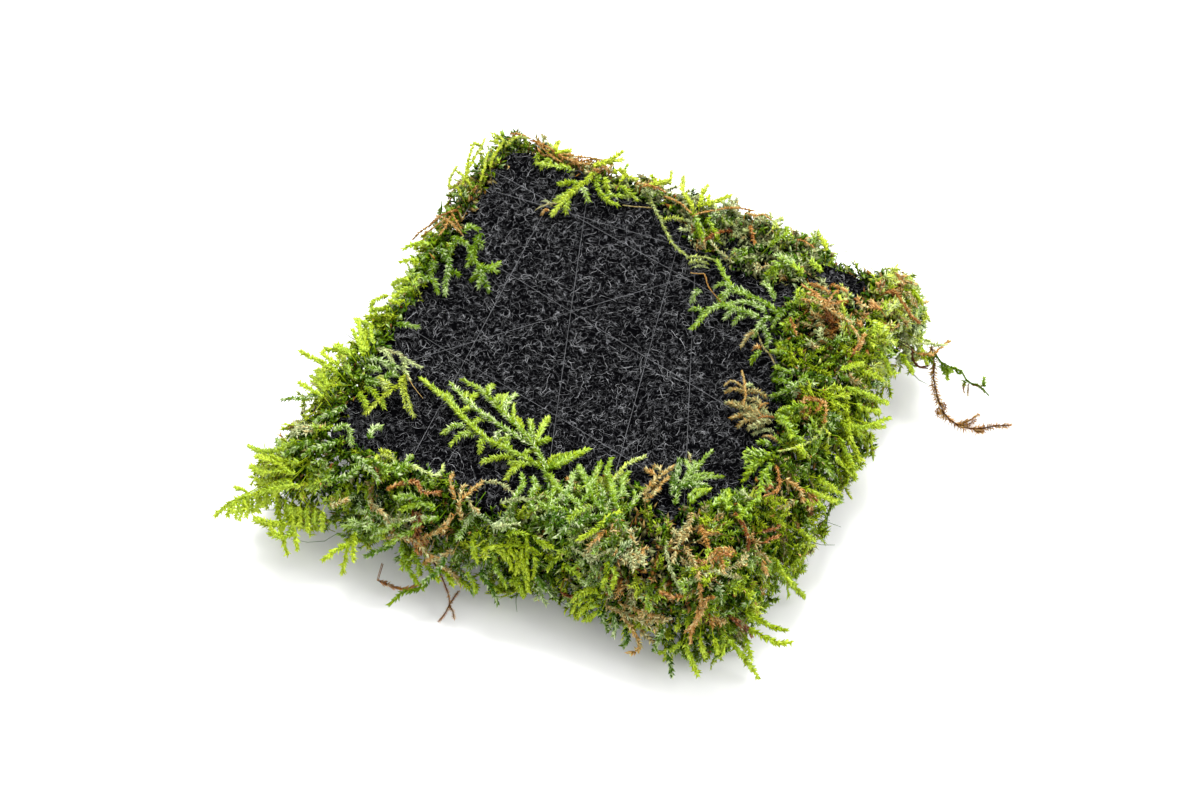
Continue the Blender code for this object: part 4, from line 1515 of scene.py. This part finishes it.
for clump, (count, seed, longest) in CLUMPS.items():
    rng = np.random.default_rng(seed)
    shoots = clump_shoots(clump, count, longest, rng)
    corners, faces, tint = gather([
        fronds(shoots, rng, last=share_over_moss(shoots[0])),
        old_leaves(clump, OLD_LEAVES * count, rng),
        shown_shoots(clump, rng),
    ])
    add_piece("moss_" + clump, settled(corners), faces, damp_moss, [clump], "moss", tint)


# Pale frond
# The largest shoot on the bare felt: a young pale green frond rooted in the front fringe, whose three
# main branches fork to the left. It lies flat. Each branch is given from root to tip, in millimetres.
SPRIG_HEIGHT = 23.4 * MM
SPRIG_ARCH = 0.7 * MM
SPRIG_SCATTER = 0.35 * MM
FROND_TONE, FROND_LIGHT, FROND_LEAF = 0.42, 0.63, 0.95
FROND_BRANCHES = [
    ((3.5, -31), (2.3, -29.3), (0, -27), (-2.3, -24.8), (-5.5, -23.3), (-8.5, -21.9), (-12, -20.3),
     (-15, -18.8), (-17.5, -17.5), (-21.3, -16.9)),
    ((-15.2, -18.8), (-15.7, -17.5), (-15.6, -15.9)),
    ((-12.8, -20), (-13.3, -18.8), (-13.3, -17.7)),
    ((-11.8, -20.3), (-12.2, -18.5), (-12.5, -16.7)),
    ((-10.8, -20.8), (-11.3, -18.5), (-11, -15.9)),
    ((-8.5, -21.9), (-9.3, -20), (-10.3, -18)),
    ((-5.8, -23.2), (-7, -21.8), (-8.6, -20.3)),
    ((-2.6, -24), (-3, -21), (-3.1, -17.8)),
    ((-3.8, -23.3), (-4.8, -21.5), (-5.9, -19.7)),
    ((-2.3, -24.6), (-1.3, -23.5), (-0.7, -22.4)),
    ((-3, -24.8), (-7, -24.3), (-10.5, -23.7), (-14, -22.8), (-17, -22), (-19.5, -20.6),
     (-22.8, -18.9)),
    ((-17.5, -21.8), (-17.9, -20.5), (-17.5, -18.9)),
    ((-18.8, -21.1), (-19.2, -20.2), (-19.4, -19.3)),
    ((-14, -22.9), (-14.8, -24.6), (-15.6, -26.2)),
    ((-10.2, -23.9), (-9.7, -25.5), (-10, -27.6)),
    ((-7.5, -24.4), (-7.9, -25.6), (-9, -26.7)),
    ((1, -28.5), (-3, -28.3), (-7, -28), (-10.5, -28), (-13, -26.9), (-16, -26), (-18.3, -24.7),
     (-20, -23.4), (-22.5, -22.4), (-25.5, -21.4), (-28.4, -20.3)),
    ((-20.2, -23.4), (-21.5, -22.2), (-22.6, -21.2)),
    ((-18.5, -24.4), (-18, -23.3), (-17.2, -22.2)),
    ((-16, -26.2), (-17.8, -27.4), (-19.2, -29.3)),
    ((-14, -26.9), (-15.8, -28.3), (-16.9, -30.7)),
    ((-11.3, -28), (-11.6, -29), (-11, -30.5)),
    ((-4.5, -28.5), (-6.8, -29.7), (-9.7, -31.9)),
    ((-1, -29), (-3, -29.8), (-4.7, -30.2)),
    ((-2.2, -29.5), (-3.2, -31.5), (-3.7, -34)),
    ((-3.6, -28.3), (-3.3, -26.5), (-2.6, -25.2)),
    ((-6, -28), (-7.2, -26.8), (-8.5, -25.8)),
    ((2.5, -28.5), (1.6, -26.5), (3.3, -24)),
    ((3, -28), (4.8, -25), (6.8, -21.4)),
]


def lie_along(routes, rng):
    """Paths that lie over the felt along routes of (x, y) in millimetres, in a low arch from root to tip."""
    flat = np.stack([spread_evenly(np.array(route) * MM) for route in routes])
    arch = SPRIG_ARCH * (np.sin(np.pi * np.linspace(0, 1, PATH_POINTS)) - 0.5)
    height = SPRIG_HEIGHT + arch + rng.normal(0, SPRIG_SCATTER, (len(routes), 1))
    return np.concatenate([flat, height[..., None]], -1)


def leafy_branches(paths, rng, tone, light, leaf, lost=0.1, sets=2):
    """Sets of leaf rows and a stem along each path, face up and a little turned to each other."""
    count = len(paths)
    tones = tone + rng.normal(0, 0.03, count)
    lights = light + rng.normal(0, 0.06, count)
    parts = [bare_stems(paths, STEM_RADIUS, tones, lights - 0.1)]
    for _ in range(sets if leaf else 0):
        face = unit(np.array([0, 0, 1]) + rng.normal(0, 0.4, (count, 3)))
        parts.append(leaf_rows(paths, face, tones, lights, rng, leaf, 1.0, plump=1.1, lost=lost))
    return gather(parts)


frond_rng = np.random.default_rng(20)
frond_paths = lie_along(FROND_BRANCHES, frond_rng)
corners, faces, tint = leafy_branches(frond_paths, frond_rng, FROND_TONE, FROND_LIGHT, FROND_LEAF, lost=0)
pale_moss = moss_finish("Pale young moss", glow=0.3, pale=1.9)
add_piece("moss_frond_pale", settled(corners), faces, pale_moss, ["frond_pale"], "pale_shoots", tint)


# Green sprigs over the felt
# Thinner shoots that have crept in over the felt from its rim, some with bare brown stems. They are
# given like the pale frond's branches, with place on the chart, brightness and leaf size before them.
THIN_LEAF = 0.8
SPRIGS = {
    "sprig_fern": [(0.32, 0.66, 0.9, [
        ((26.7, -25.3), (26.1, -23.1), (25.9, -21.4), (26, -19.8), (26.4, -18.1), (27, -16.3),
         (27.1, -14.3), (27.4, -12.6), (27.6, -11.5)),
        ((26.2, -20.5), (27.2, -19.8), (28.9, -18.2), (30.4, -17), (31.7, -15.8)),
        ((26, -20.8), (26.5, -19.1), (27.4, -18.4), (28.6, -17.1), (29.9, -16)),
        ((26.6, -19.8), (26.4, -18.1), (25.6, -17), (24.5, -15.8)),
        ((26.7, -18.3), (26.6, -16.8), (26, -15.1)),
    ]), (0.22, 0.5, 0.9, [
        ((26, -22), (26.6, -21.6), (28.4, -20.7), (30.1, -19.4)),
        ((25.8, -23.4), (25, -21.3), (24.2, -19.2), (23.2, -16.1)),
        ((25.1, -23.3), (24.2, -21), (23.3, -18.9)),
    ]), (0.8, 0.6, 0.6, [
        ((25.2, -16.2), (25, -15), (24.2, -13.9)),
    ])],
    "sprig_right": [(0.33, 0.6, 0.95, [
        ((26, 23), (24, 23.8), (20, 24.3), (17, 24), (15, 24.8), (13, 26.5), (11.5, 28), (10, 29.6)),
        ((14.8, 24.5), (13.5, 24.2), (12.4, 23.6)),
        ((15.6, 24), (15.2, 22.5), (14.9, 20.8)),
        ((15.5, 23.6), (14.6, 22.8), (13.9, 21.8)),
        ((19, 24.2), (17.5, 25), (16, 24.8)),
        ((9.8, 21.9), (9.6, 20.5), (9.5, 19)),
        ((23, 20.8), (20, 20.3), (17.5, 20.2), (15.5, 19.8), (14.2, 18.8), (13.4, 16.8), (13.2, 15),
         (12.4, 12.8)),
        ((13.3, 16.4), (12, 17), (10.5, 17.1)),
        ((18.5, 20.2), (17.7, 19), (17.2, 17.7)),
        ((20.3, 20.5), (19.5, 19.3), (19, 18.1)),
        ((24, 22), (21, 22.4), (18.5, 21.9), (16.3, 20.8)),
        ((25, 22), (24, 20), (23.8, 18), (23.7, 16.5)),
        ((24.3, 19), (25.5, 17.8), (26.8, 16.3), (27, 15.2)),
        ((26.8, 25), (26.3, 22.5), (26, 20)),
        ((26.3, 13.6), (26.2, 12.2), (25.8, 10.8)),
        ((24, 25.5), (22.5, 27), (20.3, 28.5)),
    ]), (0.86, 0.5, 0.28, [
        ((15, 20.3), (13, 21.2), (11.2, 22.2), (10.2, 24), (9.4, 24.7), (8, 24.3), (7, 24.2)),
    ]), (0.82, 0.56, 0.8, [
        ((23.8, 17.5), (23, 16), (22.8, 14), (22.6, 13.2)),
        ((24.8, 16.5), (26, 15), (27, 14), (28.5, 13.5), (30, 12.2)),
        ((26.3, 14.3), (25, 13.7)),
        ((28.3, 22.8), (30.3, 20.3)),
    ]), (0.7, 0.3, 0.78, [
        ((4, 28), (5.5, 28.6), (7.5, 29.4), (9, 30)),
        ((6, 25.8), (7.5, 26.5), (8.7, 27.3)),
        ((5, 26.8), (6.5, 27.5), (8, 28.4)),
    ])],
    "sprig_back_long": [(0.66, 0.38, 0.78, [
        ((-9, 39.3), (-8.3, 37.8), (-6.3, 36), (-4, 33.8), (-2, 31.8), (0, 30), (1.5, 29.2), (3.3, 28.8)),
        ((-4.3, 33.8), (-2, 35.2), (0.2, 36.3)),
    ]), (0.84, 0.6, 0.28, [
        ((-6.5, 36.6), (-8.5, 35.5), (-10, 34.8), (-12.5, 34.6)),
    ])],
    "sprig_back_top": [(0.43, 0.58, 1.0, [
        ((-20.6, 39.5), (-21.2, 35.5), (-22.1, 33), (-23, 30), (-23.6, 26)),
        ((-21.3, 35.2), (-23.5, 34.6), (-25.8, 33.6)),
        ((-22.5, 31.5), (-23.6, 30.8), (-24.7, 29.7)),
        ((-22.2, 33), (-23.2, 32.4), (-24.2, 31.6)),
        ((-22.9, 30.5), (-22.2, 29.5), (-21.8, 28.2)),
        ((-21.2, 34.2), (-20, 33), (-19, 32.1)),
        ((-19.8, 39), (-19.2, 36.4), (-17.8, 34.7), (-16, 33.5), (-13.6, 33.7)),
        ((-18.5, 38), (-17.5, 37.2), (-16.7, 36.2)),
        ((-15, 37.5), (-13.2, 37), (-11.8, 36.5), (-10.7, 36.2)),
        ((-16.8, 34.8), (-14.5, 35.2), (-13, 36.6)),
        ((-24.8, 37.2), (-27, 36.2), (-29.2, 35.7), (-31.5, 35.6)),
        ((-30, 38.6), (-30.3, 37), (-30.8, 36)),
        ((-32.5, 38.4), (-32.4, 37.2), (-32.2, 36.3)),
    ]), (0.84, 0.6, 0.7, [
        ((-24, 29), (-25.5, 27.5), (-27, 26.2)),
        ((-24.5, 28), (-25.8, 28), (-26.8, 28.2)),
        ((-24.5, 26.5), (-25.5, 25.3)),
    ])],
    "sprig_left_upper": [(0.32, 0.46, 1.0, [
        ((-39, 12.6), (-36.5, 12.6), (-34.3, 11.5), (-33, 10), (-31.5, 8.7), (-30, 8.3), (-28.8, 9),
         (-27.9, 10.9)),
        ((-33.9, 15.9), (-33.7, 13.6), (-33.2, 11), (-32.8, 7.7)),
        ((-37.2, 14.2), (-36.5, 15.6), (-35, 16.4)),
        ((-30, 8.3), (-30, 6.5), (-30.3, 5)),
        ((-29.7, 7.8), (-28.9, 5.8), (-28.5, 3.9)),
        ((-29.2, 6.5), (-28, 5.4), (-26.7, 4.3)),
        ((-29, 8), (-28.2, 8.1), (-27.3, 8.8)),
        ((-40.5, 9.3), (-38, 8), (-36.3, 6.8), (-35.5, 4.5), (-34.8, 2.3), (-33.8, -0.1)),
        ((-35.4, 4.4), (-34.6, 4.9), (-33.8, 5.4)),
        ((-37.4, 12.4), (-37.6, 10.8), (-37.5, 9)),
        ((-41, 1.5), (-38.6, 0.8), (-37, 1.4), (-36, 0.6), (-35.4, -0.4)),
        ((-40, 5.5), (-38.8, 4.6), (-38.2, 3)),
        ((-33.4, 13.2), (-32.9, 13.3), (-32.5, 13)),
    ]), (0.86, 0.55, 0.45, [
        ((-44, 16), (-40, 15.5), (-37, 14)),
    ])],
    "sprig_left_lower": [(0.72, 0.68, 0.9, [
        ((-39.7, -17.4), (-37.8, -17.3), (-36.3, -17.3), (-35.1, -16.7), (-33.9, -17.5)),
        ((-38.7, -17.7), (-36.8, -18.3), (-35.4, -19)),
        ((-34.2, -17.4), (-32.7, -18.2), (-31.3, -18.3), (-30.2, -18)),
        ((-33.4, -18), (-32, -20.2), (-30.9, -21.2)),
    ]), (0.62, 0.5, 1.0, [
        ((-31.6, -20.6), (-31.6, -21.5), (-30.6, -23.4), (-29.6, -25), (-28.2, -26.4), (-26.9, -27.8),
         (-26, -28.7)),
        ((-32, -21.5), (-31.4, -23.5), (-30.2, -25), (-29, -26.5), (-27.9, -27.8)),
        ((-31.2, -22.4), (-31.7, -23.7), (-32.1, -25.4), (-32.7, -26.7), (-33.2, -28.3),
         (-33.8, -29.9), (-34.4, -31.7)),
        ((-35, -24), (-33.5, -24), (-33.1, -25.9)),
        ((-36, -22.6), (-34.6, -24.6), (-33.4, -25.4)),
    ]), (0.82, 0.66, 0, [
        ((-31.2, -21), (-30.4, -21.8), (-28.9, -23.1), (-27.7, -23.8), (-26, -24.5)),
    ]), (0.44, 0.6, 1.0, [
        ((-37.6, -26), (-36.5, -26.8), (-34.8, -27.2), (-33.3, -28.1), (-32.3, -28.8)),
        ((-38, -28.4), (-36.4, -29.2), (-34.8, -30.6)),
    ]), (0.3, 0.58, 1.0, [
        ((-41.5, -21), (-38.5, -20), (-36, -20.1), (-34, -20.6)),
        ((-40, -24), (-37.3, -24.4), (-35, -23.6), (-33, -24)),
        ((-38, -25.5), (-36.2, -25.2), (-34.6, -24.4)),
        ((-34.8, -23.8), (-34.2, -22.4), (-33, -21.6)),
        ((-38.7, -11.1), (-36.8, -10.8), (-34.9, -9.8)),
        ((-37.8, -38.2), (-37.3, -36.8), (-36, -36.3), (-34.8, -37.3), (-33.7, -39)),
        ((-31, -37), (-31.2, -35), (-30.5, -33.7)),
        ((-36, -22), (-37.5, -22.5), (-39, -22)),
        ((-36, -19.5), (-34.6, -20.2), (-33.4, -19.6)),
    ]), (0.66, 0.5, 0.6, [
        ((-28, -39.3), (-25.5, -39), (-23.5, -39.7)),
        ((-22, -40), (-22.2, -38.5), (-22, -37)),
    ])],
}

for sprig, groups in SPRIGS.items():
    rng = np.random.default_rng(len(sprig))
    corners, faces, tint = gather([
        leafy_branches(lie_along(routes, rng), rng, tone, light, leaf, sets=2 if leaf > THIN_LEAF else 1)
        for tone, light, leaf, routes in groups
    ])
    slot, finish = ("pale_shoots", pale_moss) if sprig == "sprig_back_top" else ("moss", damp_moss)
    add_piece("moss_" + sprig, settled(corners), faces, finish, [sprig], slot, tint)


# Dead shoots and trailing shoots
# Old shoots that have dried pinkish brown: one tuft over the right of the felt, one long shoot that
# trails from the right corner beside a green one, and a twig that hangs at the front.
DEAD_LEAF = 0.8
DEAD_LOST = 0.25
DEAD_TUFT = [
    (0.86, 0.42, 0.55, [
        ((29, -0.1), (28.7, 1), (28.5, 2.2), (27.6, 3.8), (26.8, 5.2), (25.3, 7.4)),
        ((35.5, 0.5), (34.2, -0.2), (32.9, -1.1), (31.9, -2.3)),
        ((28.2, 3.4), (27, 4.3), (25.6, 4.7), (24.2, 4.8), (23.5, 3.7)),
        ((31.6, 0.6), (32, 2), (32.7, 3.2)),
    ]),
    (0.8, 0.37, 0.95, [
        ((27.4, 4.3), (27.8, 5.2), (28.5, 5.5)),
        ((27.8, 3.2), (26.4, 2.8), (25.2, 2.4), (24.7, 1.9)),
        ((28.1, 3.6), (29.2, 4.1), (30.3, 4.3), (31.6, 4.2)),
        ((33, 0.4), (31.8, 0), (30, -0.1), (28.2, -0.5), (26.5, -0.1), (25.7, -0.2)),
        ((33, -0.6), (31.8, -0.8), (30.1, -1.1), (28.7, -1.8), (27.7, -2.3)),
        ((33.6, -1), (31.7, -1.9), (30.5, -3), (30, -4)),
        ((36, -1.8), (35.3, -2.7), (34.3, -3.2), (33.1, -4.1)),
        ((31.7, 0.2), (30.9, 1), (30.2, 1.7)),
    ]),
    (0.79, 0.26, 1.3, [
        ((34.5, 0), (33, -0.6), (31.2, -0.4), (29.8, 0.4)),
        ((34.6, -2.2), (33, -2), (31.4, -1.4), (29.6, -1)),
        ((33.2, 1.4), (31.8, 1.8), (30.4, 2.6), (29.2, 2.6)),
        ((35.2, 0.8), (33.8, 0.6), (32.4, 1), (31.6, 0.6)),
        ((35.2, -0.7), (34.2, -2), (33.3, -3.2), (32.1, -3.8)),
        ((30.4, 0), (29.2, 0.4), (27.8, 0.5), (26.6, 0.3)),
    ]),
    (0.88, 0.44, 0.85, [
        ((38, -4), (36.2, -3.8), (35, -3.9)),
        ((33.5, 0.2), (32.2, -0.6), (31.2, -1)),
    ]),
]
# The old stems' place on the chart and brightness, how far they lie clear of their leaves, how far each
# set of leaves opens, the shares of leaves lost and of the stem's width left at its tip, and how plump
# the leaves of a dead or a green shoot are
OLD_STEM, OLD_STEM_LIGHT = 0.985, 0.14
STEM_CLEAR = np.array([0.13, -0.26, 0.55]) * MM
TRAILER_OPENINGS = 1.0, 1.25, 1.5
TRAILER_LOST = 0.15
TRAILER_TIP = 0.7
DEAD_PLUMP, GREEN_PLUMP = 0.4, 0.8
# Each trailing shoot's groups: place on the chart, brightness, leaf size, stem radius in millimetres
# and routes in the photograph
TRAILERS = {
    "dead_trailer": [(0.87, 0.34, 1.25, 0.15, [
        ((931, 345, 13), (934, 356, 12.4), (934, 365, 11.6), (933, 378, 10.2), (936, 392, 8.6),
         (939, 405, 7), (944, 415, 5.8)),
        ((942, 411, 6.4), (944, 415, 5.8), (951, 422, 4.7), (960, 427, 3.9), (970, 429, 3.3),
         (980, 429, 2.8)),
        ((978, 429, 2.9), (984, 428.5, 2.6), (990, 427, 2.4), (997, 426, 2.2), (1009, 426, 2)),
    ]), (0.89, 0.38, 0.9, 0.07, [
        ((939, 404, 7), (944, 404, 7), (946, 408, 6.6), (943, 410, 6.4)),
        ((956, 425, 4), (962, 423, 4), (966, 420, 4.2)),
        ((958, 426, 4), (965, 423, 4), (972, 419, 4.4), (978, 415, 5)),
        ((962, 426, 4), (970, 424, 4), (975, 420, 4.4)),
        ((939, 408, 6.8), (937, 411, 6.4), (938, 415, 6)),
        ((972, 429, 3), (977, 432, 2.4), (982, 432, 2.4)),
    ])],
    "green_trailer": [(0.3, 0.44, 0.5, 0.12, [
        ((934, 352, 13.4), (938, 359, 13), (942, 364, 12.6), (948, 367, 12), (954, 368, 11.5),
         (960, 370, 10.8), (964, 376, 10.2), (967, 381, 9.8)),
        ((966, 380, 9.9), (971, 384, 9.4), (976, 384, 9), (981, 388, 8.6), (988, 395, 8)),
        ((955, 368, 11.4), (957, 373, 11), (960, 374, 10.8), (961, 371, 10.8)),
    ]), (0.36, 0.42, 0.85, 0.08, [
        ((941, 364, 12.6), (943, 369, 12), (944, 373, 11.6)),
        ((944, 365, 12.4), (948, 371, 11.8), (951, 371, 11.6)),
        ((947, 367, 12), (947, 373, 11.6), (947, 378, 11.2)),
        ((951, 367, 11.8), (955, 369, 11.4)),
        ((965, 380, 9.8), (964, 385, 9.5)),
        ((982, 387, 8.6), (984, 383, 8.9), (984, 379, 9.2)),
        ((931, 352, 13), (929, 359, 12.4), (933, 363, 12)),
        ((937, 357, 13), (932, 357, 12.6), (926, 354, 12.4)),
    ]), (0.86, 0.4, 0.65, 0.07, [
        ((964, 383, 9.6), (963, 388, 9.3), (964, 392, 9)),
        ((968, 384, 9.5), (968, 391, 9.1), (968, 396, 8.8)),
        ((972, 385, 9.3), (978, 386, 8.9), (984, 391, 8.3)),
    ])],
    "dead_twig": [(0.92, 0.42, 0.55, 0.1, [
        ((432, 560, 9.4), (437, 567, 8.4), (443, 580, 6.6), (447, 590, 5), (450, 600, 3.6),
         (450, 608, 2.8)),
        ((450, 604, 3.2), (445, 614, 2.4), (439, 621, 2)),
        ((450, 606, 3), (453, 612, 2.4), (454, 618, 2)),
        ((450, 604, 3.4), (455, 596, 4.2), (458, 592, 4.6)),
    ])],
}


def trailing_shoots(groups, rng):
    """Dark stems with leaves that stand out all round, as on an old shoot. The stem shows through."""
    parts = []
    for tone, light, leaf, radius, routes in groups:
        paths = np.stack([lay_on_clumps(route, stem)[0] for route in routes])
        tones = tone + rng.normal(0, 0.02, len(paths))
        lights = light + rng.normal(0, 0.05, len(paths))
        stem_tone, plump = (OLD_STEM, DEAD_PLUMP) if tone > OLDEST_GREEN else (tone, GREEN_PLUMP)
        stem_tones, stem_lights = (np.full(len(paths), value) for value in (stem_tone, OLD_STEM_LIGHT))
        parts.append(bare_stems(paths + STEM_CLEAR, radius * MM, stem_tones, stem_lights, TRAILER_TIP))
        for opening in TRAILER_OPENINGS:
            face = unit(TOWARDS_LIGHT + rng.normal(0, 0.4, (len(paths), 3)))
            parts.append(leaf_rows(
                paths, face, tones, lights, rng, leaf, opening, plump=plump, lost=TRAILER_LOST,
            ))
    return gather(parts)


dry_moss = moss_finish("Dead moss", glow=0.25)
dead_rng = np.random.default_rng(30)
corners, faces, tint = gather([
    leafy_branches(
        lie_along(routes, dead_rng), dead_rng, tone, light, DEAD_LEAF * leaf, lost=DEAD_LOST, sets=3,
    )
    for tone, light, leaf, routes in DEAD_TUFT
])
add_piece("moss_dead_tuft", settled(corners), faces, dry_moss, ["dead_tuft"], "dead_shoots", tint)
for trailer, groups in TRAILERS.items():
    corners, faces, tint = trailing_shoots(groups, np.random.default_rng(len(trailer)))
    slot, finish = ("pale_shoots", damp_moss) if trailer == "green_trailer" else ("dead_shoots", dry_moss)
    add_piece("moss_" + trailer, settled(corners), faces, finish, [trailer], slot, tint)


# Floor, light and camera
# The pad lies on a plain white table under broad soft light: one large soft lamp above and behind it,
# a smaller one to its right and white walls all round. The camera looks down on its front corner.
TABLE_HALF = 2.0
WALL_LIGHT = 1.15


def add_floor():
    """The table: one square that the pad's shadow falls on."""
    flat = np.array([[-1, -1, 0], [1, -1, 0], [1, 1, 0], [-1, 1, 0]]) * TABLE_HALF
    mesh = bpy.data.meshes.new("floor")
    mesh.from_pydata(flat.tolist(), [], [(0, 1, 2, 3)])
    material, shader = new_finish("White table", roughness=0.9, specular=0.1)
    shader.inputs["Base Color"].default_value = shade("F2F2F2")
    mesh.materials.append(material)
    floor = new_object("floor", mesh)


def add_lamp(name, place, size, power):
    """A square soft lamp, in metres and watts, that points at the pad."""
    light = bpy.data.lights.new(name, "AREA")
    light.shape = "SQUARE"
    light.size = size
    light.energy = power
    lamp = new_object(name, light)
    lamp.location = place
    lamp.rotation_euler = (-Vector(place)).to_track_quat("-Z", "Y").to_euler()


def add_camera():
    """The camera that the lines of sight start from, aimed along the middle one."""
    eye, lines = sight_lines(np.array([[PHOTO_WIDE, PHOTO_HIGH]]) / 2)
    data = bpy.data.cameras.new("camera")
    data.lens = CAMERA_LENS
    data.sensor_width = CAMERA_SENSOR
    camera = new_object("camera", data)
    camera.location = eye
    camera.rotation_euler = Vector(lines[0]).to_track_quat("-Z", "Y").to_euler()
    bpy.context.scene.camera = camera


add_floor()
add_lamp("softbox_above", place=(-0.15, 0.4, 0.9), size=0.35, power=12)
add_lamp("softbox_right", place=(0.7, 0.1, 0.6), size=0.4, power=4)
walls = bpy.data.worlds.new("White studio")
walls.use_nodes = True
walls.node_tree.nodes["Background"].inputs["Color"].default_value = (1, 1, 1, 1)
walls.node_tree.nodes["Background"].inputs["Strength"].default_value = WALL_LIGHT
bpy.context.scene.world = walls
bpy.context.scene.view_settings.view_transform = "Standard"
add_camera()
